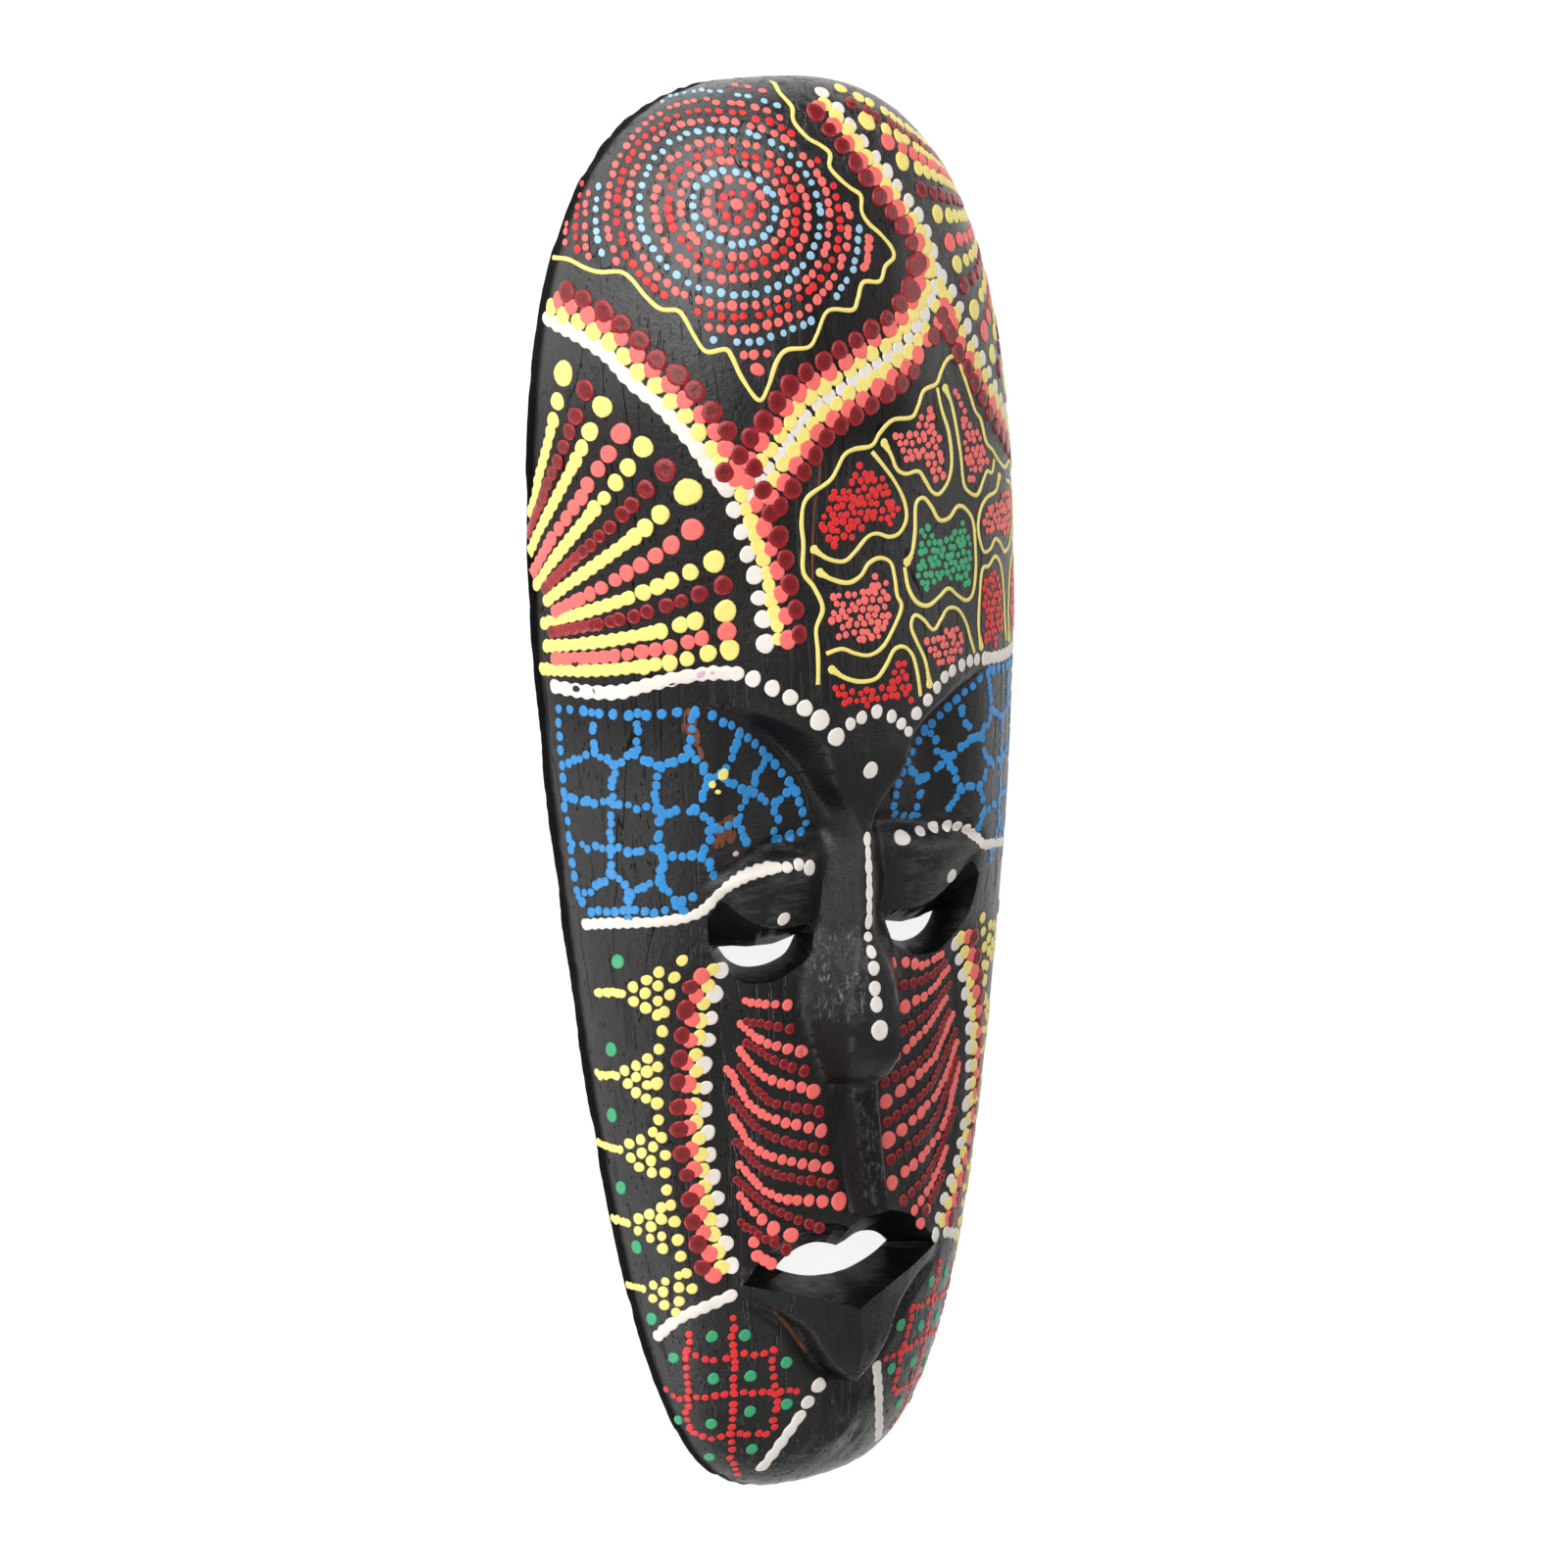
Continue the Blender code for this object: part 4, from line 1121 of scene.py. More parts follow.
CELL_FIELDS = [
    ("red", [
        (-17, 106), (-13, 113), (-6, 117), (0, 122.5), (6, 121.5), (12, 114.5), (16, 107), (14.5, 101.5),
        (7, 102.5), (1, 101.5), (-5, 97.5), (-11, 96.5), (-15.5, 100.5),
    ]),
    ("coral", [
        (-14.5, 82), (-8, 81), (-2, 80), (4, 86), (8, 84), (9.5, 77), (9, 70.5), (4, 64.5), (0, 62),
        (-6, 64.5), (-12, 66.5), (-14.5, 73),
    ]),
    ("red", [
        (-16, 50.5), (-8, 49.5), (-1, 47.5), (5, 48.5), (9, 55.5), (13, 56.5), (16, 49.5), (16.5, 42),
        (8, 42.5), (-1, 42.5), (-9, 42.5), (-14, 44),
    ]),
    ("coral", [
        (13.5, 133.5), (21, 131), (27, 137), (31.5, 141), (34, 131), (36, 122), (36.5, 114), (32, 112.8),
        (28.5, 119), (23, 122.8), (17.5, 122.5), (15.5, 128),
    ]),
    ("green", [
        (25, 102.5), (29.5, 99), (33, 94.5), (39, 96.5), (44, 99.5), (48.5, 98.5), (49.8, 90), (49, 80),
        (45.5, 75.8), (40.5, 79.5), (34, 81.5), (27.5, 80.5), (22.5, 76.8), (20.5, 84), (24, 92),
    ]),
    ("coral", [
        (42, 148), (45.5, 143.5), (48.5, 139), (52, 133), (55.5, 129), (60, 121), (61.5, 117.5), (56, 115.5),
        (51.5, 110.8), (48, 115.5), (47.3, 125), (45.3, 135),
    ]),
    ("coral", [
        (21, 65), (25.5, 61), (31, 63.5), (36, 66.5), (41, 64.5), (44.3, 58.5), (41, 55.5), (34, 52),
        (27.5, 51), (25, 57),
    ]),
    ("coral", [
        (57, 100.5), (63, 103.5), (70.5, 104), (77, 106.5), (84, 104.5), (87, 99.5), (84, 93), (78, 89.5),
        (72, 92), (65, 94.5), (58.5, 91.5),
    ]),
    ("red", [
        (57, 78.5), (62, 79.5), (66.5, 81), (69.5, 77), (71, 68), (72, 58), (66, 54), (58.5, 55), (57, 64),
    ]),
    ("coral", [(83.5, 74), (88, 79), (93, 77), (95.5, 70), (96.5, 58), (90, 54.5), (84, 56), (83, 66)]),
    ("red", [(99, 104), (98, 96), (102, 90.5), (109, 92), (114, 96), (112, 105), (105, 109)]),
    ("green", [(108, 73), (108, 62), (110, 55), (116, 56), (116, 76)]),
]


def paint_cells(paint):
    paint.trail("yellow", CELL_LINES[0], 1.5)
    for line in CELL_LINES[1:]:
        paint.trail("yellow", line, 1.4, start_drop=3.0)
        for place, size in zip(curve(line[:3], 1.3), CELL_LINE_DROPS):
            paint.dot("yellow", *place, size)
    for colour, field in CELL_FIELDS:
        paint.fill(colour, field, 2.4, 2.85)


# White lines over the brows and along the lids
LEFT_BROW = [
    (-112, 52.5), (-105, 52), (-95, 51.5), (-85, 52), (-75, 54.5), (-65, 56.5), (-55, 57.5), (-47, 57),
]
BROW_DROPS = [
    (-42, 55, 5.4), (-36, 51.5, 5.4), (-30.2, 48, 5.4), (-25.3, 44, 5.6), (-20, 39.5, 7), (-14, 33.2, 6.2),
    (-8.5, 37, 4.2), (-4, 38.6, 4.4), (2, 40, 4.6), (8, 37.6, 4.4), (12, 34.6, 4), (15, 31.6, 3.6),
    (18.5, 37.3, 4.6), (23.6, 41.3, 4.4), (28, 45, 4.2), (32, 48, 4.4), (36.3, 49.5, 4.3), (42, 50.6, 4.5),
    (47.2, 51.2, 4.4), (52, 51, 4.2), (57.6, 50.5, 4.8),
]
RIGHT_BROW = [(60, 50.2), (70, 49.5), (80, 49.5), (92, 50.5), (103, 51), (112, 51)]
LEFT_LID = [
    (-102, -29.5), (-95, -28.5), (-85, -27.5), (-75, -27), (-66, -25.8), (-60, -24), (-55, -20), (-50, -15.5),
    (-45, -13), (-40, -11.5), (-35, -10.7), (-32, -10.6),
]
RIGHT_LID = [
    (52.5, -11), (56, -13.3), (59.5, -16), (66, -17), (76, -18.5), (86, -20.5), (95, -23.5), (104, -28),
]
LID_DROPS = [
    (-28.5, -11, 4), (-24, -10.6, 4.2), (-19.5, -12.4, 5.4), (-28, -29.5, 4.8), (19, -7.4, 6),
    (28, -6.6, 4.8), (35.3, -6.4, 4.8), (41.2, -6.8, 4), (45.4, -7.5, 4), (49.7, -9, 4), (42, -24.5, 5.2),
]
NOSE_BEADS = [
    (0, 20, 5.6, 6.4), (0, -4.2, 2.9, 5.2), (0, -38.2, 3.4, 3.5), (0, -43.2, 3.9, 4.8), (0, -48.6, 4.5, 5.3),
    (0, -55.6, 4.7, 5.4), (0.3, -61.2, 5, 5.8), (0.8, -70.2, 6.6, 7.4),
]
NOSE_LINE = [
    (0, -9, 2.2, 6.6), (0, -13.5, 2.7, 6.6), (0, -18.5, 2.2, 6.6), (0, -22.5, 2.7, 6.6), (0, -27.5, 2.3, 6.6),
    (0, -32.5, 3, 6.6),
]
WHITE_LINES = [(LEFT_BROW, 5, 4.4), (RIGHT_BROW, 4.6, 4), (LEFT_LID, 4.1, 3.4), (RIGHT_LID, 3.9, 3.3)]
LONG_DROP = 1.05
EYE_CORNER = (-62.3, -25.2, 1.3, 1)
PINK_STAINS = [(-58.5, 57.4, 3.4, 2.4, 0.5), (-54.8, 57.6, 1.9, 1.4), (-46, -4.8, 2.4, 2)]


def paint_white_lines(paint):
    for points, width, pitch in WHITE_LINES:
        paint.beaded("white", points, width, pitch)
    paint.listed("white", [(s, y, width, LONG_DROP * width) for s, y, width in BROW_DROPS + LID_DROPS])
    paint.listed("white", NOSE_BEADS + NOSE_LINE)
    paint.listed("pink_stain", PINK_STAINS)
    paint.dot("red", *EYE_CORNER)


# Blue nets beside the brows: the middles of the cells, and the drops around them
NET_MIDDLES = [
    (-103, 37), (-88.5, 38), (-72.5, 36), (-97.5, 22), (-81, 20.5), (-66.5, 19.5), (-98, 5.5), (-82, 5),
    (-64, 3.5), (-99, -8.5), (-81.5, -9), (-64.5, -12), (-91.5, -19.5), (-76, -20.5), (-52.5, 33),
    (-51.5, 12.5), (-41.5, 27), (-36.5, 5.5), (-29.5, 18.5), (-22.5, 6.5), (-50, -2.5),
]
NET_SIDE = [
    (-99, -24.5), (-103.5, -21.5), (-106.5, -15), (-107.5, -7), (-108.5, 1), (-109.5, 12), (-110, 24),
    (-110.5, 36), (-110.5, 45),
]
NET_TOP = [(-105, 45), (-97, 44.5), (-86, 44), (-74, 44), (-62, 44.5), (-55, 43.5)]
NET_BROW = [
    (-51, 40.5), (-46, 38.5), (-42.5, 35.6), (-38, 32.4), (-34, 28.8), (-30.3, 25.4), (-27.5, 21.8),
    (-25, 18.6), (-22.8, 15.4), (-20.8, 12), (-19.4, 8.2), (-18, 4.2), (-17.5, 0), (-21.5, -1.5), (-27, -2.3),
]
NET_FIELD = [(-110, 45)] + NET_TOP + NET_BROW + [
    (-34, -2.5), (-43, -1), (-52, -7), (-58, -15), (-60, -23), (-70, -24.5), (-82, -25), (-96, -26),
    (-104, -22), (-108, -8), (-110, 20),
]
NET_FOOT = [
    (-96, -24), (-90, -24.2), (-85, -23.4), (-80, -23.2), (-75, -23.6), (-70, -22.6), (-65.5, -20),
    (-62, -18),
]
NET_RIGHT_LIFT = 1.0
# Rows of drops around the nets, with their width, step and stray
LEFT_NET_ROWS = [
    (NET_SIDE, 3.3, 5, 0.25), (NET_TOP, 3.5, 5.4, 0.25), (NET_BROW, 3.1, 4, 0.2), (NET_FOOT, 3.1, 3.7, 0.3),
]
RIGHT_NET_ROWS = [
    (mirrored(NET_SIDE), 3.3, 4.6, 0.25), (mirrored(NET_TOP, NET_RIGHT_LIFT), 3.3, 4.4, 0.25),
    (mirrored(NET_BROW, NET_RIGHT_LIFT), 3.1, 4, 0.2),
]
YELLOW_IN_NET = [(-51, 23, 4.2), (-55.2, 20, 2.8), (-53, 17.2, 2.2, 1.6)]
BROW_LINE = [
    (-57, 46), (-51, 44.6), (-44, 41.5), (-38, 37.6), (-33, 33.6), (-28.5, 29.2), (-24.5, 24.4), (-21, 19),
    (-18, 13), (-16.5, 6),
]
BROW_LINE_WIDTH = 0.8


def paint_net(paint, rows, middles, field, width, step):
    for line, drop, pitch, stray in rows:
        paint.row("blue", line, drop, pitch, stray=stray)
    paint.walls("blue", middles, field, width, step)


def paint_blue_nets(paint):
    paint_net(paint, LEFT_NET_ROWS, NET_MIDDLES, NET_FIELD, width=3.05, step=2.95)
    middles, field = mirrored(NET_MIDDLES, NET_RIGHT_LIFT), mirrored(NET_FIELD, NET_RIGHT_LIFT)
    paint_net(paint, RIGHT_NET_ROWS, middles, field, width=2.9, step=3.0)
    for line in (BROW_LINE, mirrored(BROW_LINE)):
        paint.trail("black_chip", line, BROW_LINE_WIDTH)
    paint.listed("yellow", YELLOW_IN_NET)


# Ropes down the cheeks, from the eye to the mouth: the path of the white strand of each, and the strands
LEFT_CHEEK_ROPE = [
    (-49.5, -46), (-51.5, -57), (-53.5, -70), (-54.6, -83), (-54.2, -96), (-53, -108), (-51, -119),
    (-49.5, -129), (-47.5, -140), (-45.5, -149), (-44.5, -156),
]
RIGHT_CHEEK_ROPE = [
    (49, -51), (54, -61), (57.5, -72), (60.2, -83), (61.8, -95), (62, -107), (61, -119), (58.5, -130),
    (54.5, -138), (49, -145.5), (44, -152),
]
LEFT_CHEEK_STRANDS = [
    ("white", 0, 5.6, 8.6, 0, 1), ("yellow", -3.6, 5.3, 6.2, 0, 1), ("coral", -7, 5.8, 7.8, 0.02, 1),
    ("dark_red", -10.4, 6.3, 8.6, 0.06, 0.99),
]
RIGHT_CHEEK_STRANDS = [
    ("white", 0, 5, 7.2, 0, 1), ("yellow", 3.3, 5.2, 6.6, 0, 1), ("coral", 6.6, 5.6, 7.8, 0.02, 1),
    ("dark_red", 9.8, 6, 8.4, 0.05, 1),
]
# Darts along the sides: the rim end of each stem and its height, the tip and the height of the triangle
DARTS = [(-98, -52.5, -87), (-99.5, -83, -90), (-103, -110.5, -89), (-96, -138, -86), (-87, -163, -79.5)]
DART_BASE = [
    (-64.5, -41), (-67.5, -49), (-70.5, -62), (-73.2, -78), (-73, -93), (-71, -108), (-69.5, -122),
    (-66.5, -136), (-63.5, -149), (-59.5, -161),
]
# Darts: width of the stem's drops, their step and its rise; width and pitch of the triangle's drops, room to
# the row at its base and how many ranks fill it; then width and step of that row
DART_STEM_DROP = 3.1
DART_STEM_STEP = 1.7
DART_STEM_RISE = 0.6
DART_DROP = 3.9
DART_PITCH = 5.0
DART_EDGE_ROOM = 1.5
DART_RANKS = 3.7
DART_BASE_DROP = 4.0
DART_BASE_STEP = 6.3
RIGHT_DART_LIFT = -3.5
SIDE_GREEN = [(-88.5, -41.5), (-92, -73.5), (-92.5, -98), (-89, -125), (-82, -147), (-75, -174.5)]
SIDE_GREEN_SIZE = (4.8, 5.4)


def paint_dart(paint, side, lift, stem, y, tip):
    """A stem from the rim and a triangle of drops with its tip towards the rim."""
    line = [(-side * stem, y + lift - DART_STEM_RISE), (-side * tip, y + lift)]
    paint.row("yellow", line, DART_STEM_DROP, DART_STEM_STEP, stray=0.25)
    heights = np.array(DART_BASE)[::-1]
    edge = np.interp(y, heights[:, 1], heights[:, 0]) - DART_EDGE_ROOM
    for rank in (1, 2, 3):
        s = tip + (edge - tip) * rank / DART_RANKS
        for number in range(rank + 1):
            height = y + DART_PITCH * (number - 0.5 * rank)
            paint.dots("yellow", [(-side * s, height + lift)], DART_DROP, stray=0.35)


def paint_cheek_edges(paint):
    paint.rope(LEFT_CHEEK_ROPE, LEFT_CHEEK_STRANDS)
    paint.rope(RIGHT_CHEEK_ROPE, RIGHT_CHEEK_STRANDS)
    for side, lift in ((-1.0, 0.0), (1.0, RIGHT_DART_LIFT)):
        base = [(-side * s, y + lift) for s, y in DART_BASE]
        paint.row("yellow", base, DART_BASE_DROP, DART_BASE_STEP, stray=0.25)
        for dart in DARTS:
            paint_dart(paint, side, lift, *dart)
        paint.listed("green", [(-side * s, y + lift, *SIDE_GREEN_SIZE) for s, y in SIDE_GREEN])


# Arcs on the cheeks: from the outer end to the drop beside the nose or the bar, which is the widest
LEFT_CORAL_ARCS = [
    ([(-42, -57), (-34, -59.5), (-25, -60.5)], 4), ([(-42.5, -65), (-33, -73.5), (-19.8, -78)], 4.8),
    ([(-42.5, -74), (-34, -85), (-14.6, -93.5)], 4.8), ([(-46, -81.5), (-35, -98), (-11.6, -108.5)], 4.9),
    ([(-45, -98), (-33, -113.5), (-8.6, -122.5)], 5), ([(-42, -116), (-28, -130), (-4.2, -135.5)], 5.8),
    ([(-41, -128), (-35, -136), (-29, -141)], 5),
]
LEFT_DARK_ARCS = [
    [(-39.5, -65), (-32, -67), (-24, -69.5)], [(-41, -71.5), (-31, -79), (-18.5, -85.5)],
    [(-41.5, -81), (-31.5, -94), (-12.6, -101)], [(-45, -92), (-32, -106.5), (-9.8, -115.5)],
    [(-43.5, -107), (-31, -120.5), (-6.2, -128.8)], [(-42, -122.5), (-28, -135), (-12, -143.5)],
    [(-41.5, -137), (-34, -143.5), (-25, -149.5)],
]
RIGHT_CORAL_ARCS = [
    ([(43, -53.5), (32, -55.6), (23, -53)], 4.4), ([(46, -59.5), (36, -66), (23, -69)], 5),
    ([(45.5, -70.5), (34, -79.5), (19.5, -86.5)], 4.4), ([(50, -77), (38, -92), (15.5, -102.5)], 6.2),
    ([(53.5, -87), (42, -105.5), (17, -117)], 6.4), ([(55, -97), (45, -121), (19.5, -133.5)], 5.6),
    ([(50.5, -127), (41, -138.5), (30, -146)], 4.2),
]
RIGHT_DARK_ARCS = [
    [(44, -57), (34, -60.5), (22, -61)], [(47.5, -65.5), (36, -73), (22, -77.5)],
    [(48, -75), (35, -88.5), (19, -94)], [(51.5, -84), (37, -101.5), (16, -110)],
    [(54, -94), (41, -115), (18.5, -124.5)], [(54, -114), (41, -132.5), (24, -141)],
    [(48, -137), (42, -143), (36, -147.5)],
]
CORAL_ARC_NARROW = 2.9
DARK_ARC_WIDTHS = (4.3, 3.0)
LOOSE_CORAL = [
    (-36.5, -145.5, 4.2), (-23, -144.5, 5.6), (-35.5, -150.5, 4.6), (-33, -152.3, 4.4), (-30.8, -153.8, 4.4),
    (33, -151.5, 4.4), (37.5, -147.5, 3.8), (14.2, -50.5, 4.2),
]
LOOSE_DARK = [(14.5, -95, 4.4), (-29, -145, 3.4)]


def paint_cheeks(paint):
    for points, width in LEFT_CORAL_ARCS + RIGHT_CORAL_ARCS:
        paint.ray_along("coral", points, width, CORAL_ARC_NARROW)
    for points in LEFT_DARK_ARCS + RIGHT_DARK_ARCS:
        paint.ray_along("dark_red", points, *DARK_ARC_WIDTHS)
    paint.listed("coral", LOOSE_CORAL)
    paint.listed("dark_red", LOOSE_DARK)


# Chin: white lines, and a red net with green drops in it
CHIN_WHITE = [
    ([(-45.5, -164), (-56, -168.7), (-64, -173), (-72, -181)], 4.7, 4.6),
    ([(49, -159), (57, -162), (66, -165.5), (77, -170)], 4.4, 4.2),
    ([(-16.3, -214.6), (-21, -224.5), (-25.5, -236)], 4.6, 5.4),
    ([(14, -201.5), (17, -213), (20, -224), (25, -236)], 4.4, 5.2),
]
CHIN_WHITE_DROPS = [(-10.5, -203.5, 5.8), (-14, -209.6, 5.2), (41, -157.8, 5)]
CHIN_NET = [
    [(-59.5, -179), (-60, -187), (-59.3, -196), (-57.5, -206), (-58, -214), (-54, -220.5)],
    [(-45, -173), (-43, -186), (-41.8, -200), (-41, -212), (-39.5, -222), (-38, -231), (-33, -239)],
    [(-29, -187), (-28, -196), (-26.2, -205), (-25.5, -218)],
    [(-60, -186.5), (-52, -188.8), (-42, -187.2), (-34, -187.4), (-29, -186.5)],
    [(-67, -203), (-62, -206), (-52, -204), (-42, -202.6), (-30, -203), (-18.5, -204)],
    [(-56, -219), (-49, -222), (-41, -220.3), (-33, -220), (-27.5, -220.8)],
]
CHIN_GREEN = [
    (-51.5, -179.5), (-40, -179.5), (-65, -189), (-49.5, -196.5), (-36.5, -196), (-24, -192), (-35, -210.5),
    (-22, -209), (-48, -215.5), (-61.5, -216), (-31.5, -227), (-46, -231),
]
CHIN_RIGHT_LIFT = 4.0
CHIN_LONG_DROP = 1.1
CHIN_NET_DROP = 2.8
CHIN_NET_STEP = 3.4
CHIN_GREEN_SIZE = (4.3, 4.9)


def paint_chin(paint):
    for points, width, pitch in CHIN_WHITE:
        paint.beaded("white", points, width, pitch)
    paint.listed("white", [(s, y, width, CHIN_LONG_DROP * width) for s, y, width in CHIN_WHITE_DROPS])
    for left in CHIN_NET:
        for line in (left, mirrored(left, CHIN_RIGHT_LIFT)):
            paint.row("red", line, CHIN_NET_DROP, CHIN_NET_STEP, stray=0.3)
    for s, y in CHIN_GREEN:
        for place in ((s, y), (-s, y + CHIN_RIGHT_LIFT)):
            paint.dot("green", *place, *CHIN_GREEN_SIZE)


# Wear: bare wood as (s, y, width, length, turn), a crack, and chips where the paint came off
BARE_WOOD = [
    (-62.3, 42, 4.6, 8, 0.1), (-61.2, 37, 4, 8, 0.3), (-64, 39.5, 2.6, 4, 0), (-59, 31, 1.8, 5, 0.3),
    (-57.2, 27, 1.4, 2.6, 0.5), (-51.5, 4, 5.6, 7, 0.4), (-48.6, 6.6, 4.6, 4.8, 1),
    (-52.8, -0.4, 4.2, 4, 0.2), (-48.2, 1.6, 4, 5, 0), (-56, 22.5, 2.4, 3, 0.8),
]
CRACK = [(-15.2, 124), (-15.8, 117), (-17.6, 110), (-18.6, 101), (-19.4, 92), (-20.2, 83)]
LIP_CREASE = [(-30.5, -170.5), (-26, -175.5), (-20.5, -183), (-15.5, -190)]
CRACK_WIDTH = 0.8
LIP_CREASE_WIDTH = 1.5
CHIPS = [
    (-102, 52.4, 3.2, 2.4, 0), (-102, 61.3, 2.9, 3.2, 0), (-102.5, 69.6, 2.2, 0.9, 0.1),
    (-95, 52, 0.6, 2.2, 0.5), (-68, 54.4, 2.4, 0.7, 0.2),
]


def paint_wear(paint):
    paint.listed("bare_wood", BARE_WOOD)
    paint.trail("bare_wood", CRACK, CRACK_WIDTH)
    paint.trail("bare_wood", LIP_CREASE, LIP_CREASE_WIDTH)
    paint.listed("black_chip", CHIPS)


def srgb(red, green, blue):
    """Colour of a photograph, from 0 to 255, as the linear values that a shader takes."""
    shares = [value / 255.0 for value in (red, green, blue)]
    linear = [share / 12.92 if share < 0.04 else ((share + 0.055) / 1.055) ** 2.4 for share in shares]
    return (*linear, 1.0)


# Colours of the black paint: where it is sound, then painted sheen, painted highlights and painted shade
BLACK_DARK = (16, 14, 13)
BLACK_LIGHT = (24, 22, 21)
# Painted sheen on the left of the nose
NOSE_PAINTED_SHEEN = (66, 66, 70)
# Painted highlights on the flakes of the nose and the bar
FLAKE_PAINTED_HIGHLIGHT = (128, 127, 130)
# Painted highlights in streaks on the lids
LID_PAINTED_HIGHLIGHT = (70, 69, 71)
# Painted shade in the pores and cracks
PAINTED_SHADE_IN_PORES = (3, 3, 3)
# Painted shade along the rim, next to the floor
PAINTED_SHADE_AT_RIM = (7, 6, 6)
# Painted shade in the pockets of the eyes and the mouth
POCKET_PAINTED_SHADE = (8, 8, 8)
# Raw wood of the hollow: its dark and its light colour, and its roughness
HOLLOW_WOOD = ((58, 38, 27), (112, 78, 52), 0.6)
# Where the black is thick and glossy, wrinkled or dull, in metres: half width across, and span along the mask
CARVED_PLACE = (0.023, (-0.202, 0.030))
EYES_PLACE = (0.056, (-0.050, 0.046))
LIDS_PLACE = (0.056, (-0.050, -0.002))
# Where the painted sheen and painted highlights lie, on the left of the nose
NOSE_FACET_PLACE = (0.0085, (-0.064, -0.036))
NOSE_FACET_MIDDLE = -0.0105
BAR_PLACE = (0.0046, (-0.141, -0.093))
SOFT_EDGE = 0.003
BAR_SOFT_EDGE = 0.0006
LEATHERY = (0.050, 0.080)
# Heights over which the rim turns matt and takes a painted shade
MATT_SHADED_RIM = (0.0045, 0.0085)
GLOSSY_CROWN = (0.125, 0.19)
CHIN_WITHOUT_CRACKS = (-0.186, -0.196)
# How far from the middle the painted highlights on the lids begin
LID_HIGHLIGHTS_FROM = (0.016, 0.022)
STEEP = (0.50, 0.74)
# Duller patches of the black: half width, span, soft edge, middle, and the share of the gloss that is gone
DULL_PATCHES = [(0.024, (0.125, 0.222), 0.009, 0.002, 0.7), (0.024, (0.030, 0.150), 0.012, -0.080, 0.45)]


class Field:
    """A value that varies over the surface, to be reckoned with like a number."""

    def __init__(self, shader, socket):
        self.shader = shader
        self.socket = socket

    def math(self, operation, first, second):
        return self.shader.add("ShaderNodeMath", "Value", {0: first, 1: second}, operation=operation)

    def __add__(self, other):
        return self.math("ADD", self, other)

    def __sub__(self, other):
        return self.math("SUBTRACT", self, other)

    def __rsub__(self, other):
        return self.math("SUBTRACT", other, self)

    def __mul__(self, other):
        return self.math("MULTIPLY", self, other)

    def __abs__(self):
        return self.math("ABSOLUTE", self, 0.0)

    def most(self, other):
        return self.math("MAXIMUM", self, other)

    def least(self, other):
        return self.math("MINIMUM", self, other)

    def step(self, low, high, out_low=0.0, out_high=1.0):
        """Map the value from one range to another, and keep it there."""
        ranges = {"Value": self, "From Min": low, "From Max": high, "To Min": out_low, "To Max": out_high}
        return self.shader.add("ShaderNodeMapRange", "Result", ranges)

    def mix(self, first, second):
        """Mix two colours by the value: the first where it is 0, the second where it is 1."""
        inputs = {"Factor": self, "A": first, "B": second}
        return self.shader.add("ShaderNodeMix", "Result", inputs, data_type="RGBA")

    def bump(self, distance):
        inputs = {"Strength": 1.0, "Distance": distance, "Height": self}
        return self.shader.add("ShaderNodeBump", "Normal", inputs)


class Shader:
    """A material whose looks are laid out with nodes."""

    def __init__(self, name):
        self.material = bpy.data.materials.new(name)
        self.material.use_nodes = True
        self.tree = self.material.node_tree
        self.looks(Metallic=0.0, Specular_IOR_Level=0.5)

    def feed(self, node, inputs):
        """Set inputs of a node to numbers and colours, or link them to fields."""
        for name, value in inputs.items():
            if isinstance(value, Field):
                self.tree.links.new(value.socket, node.inputs[name])
            else:
                node.inputs[name].default_value = value

    def add(self, kind, output, inputs, **settings):
        node = self.tree.nodes.new(kind)
        for name, value in settings.items():
            setattr(node, name, value)
        self.feed(node, inputs)
        return Field(self, node.outputs[output])

    def looks(self, **inputs):
        """Give the principled shader its inputs, and return the material."""
        named = {name.replace("_", " "): value for name, value in inputs.items()}
        self.feed(self.tree.nodes["Principled BSDF"], named)
        return self.material

    def place(self, scale=(1.0, 1.0, 1.0)):
        """Coordinates on the object, each axis stretched by its scale."""
        coordinates = self.add("ShaderNodeTexCoord", "Object", {})
        return self.add("ShaderNodeMapping", "Vector", {"Vector": coordinates, "Scale": scale})

    def noise(self, across, along, detail=3.0, roughness=0.55):
        """Noise that changes so many times in a metre across the grain and along it."""
        where = self.place((across, along, across))
        inputs = {"Scale": 1.0, "Detail": detail, "Roughness": roughness, "Vector": where}
        return self.add("ShaderNodeTexNoise", "Fac", inputs)

    def spots(self, across, along):
        """Distance to the nearest of many scattered points."""
        where = self.place((across, along, across))
        return self.add("ShaderNodeTexVoronoi", "Distance", {"Scale": 1.0, "Vector": where})

    def axis(self, name):
        """Place along one axis of the mask, in metres."""
        return self.add("ShaderNodeSeparateXYZ", name, {"Vector": self.place()})

    def upward(self):
        """How much the surface faces straight out of the mask."""
        normal_here = self.add("ShaderNodeNewGeometry", "Normal", {})
        return self.add("ShaderNodeSeparateXYZ", "Z", {"Vector": normal_here})

    def inside_box(self, half_width, span, soft=SOFT_EDGE, middle=0.0):
        """Return 1 inside a band along the face and 0 outside it, with soft edges."""
        narrow = abs(self.axis("X") - middle).step(half_width - soft, half_width + soft, 1.0, 0.0)
        over = self.axis("Y").step(span[0] - soft, span[0] + soft)
        under = self.axis("Y").step(span[1] - soft, span[1] + soft, 1.0, 0.0)
        return narrow * (over * under)


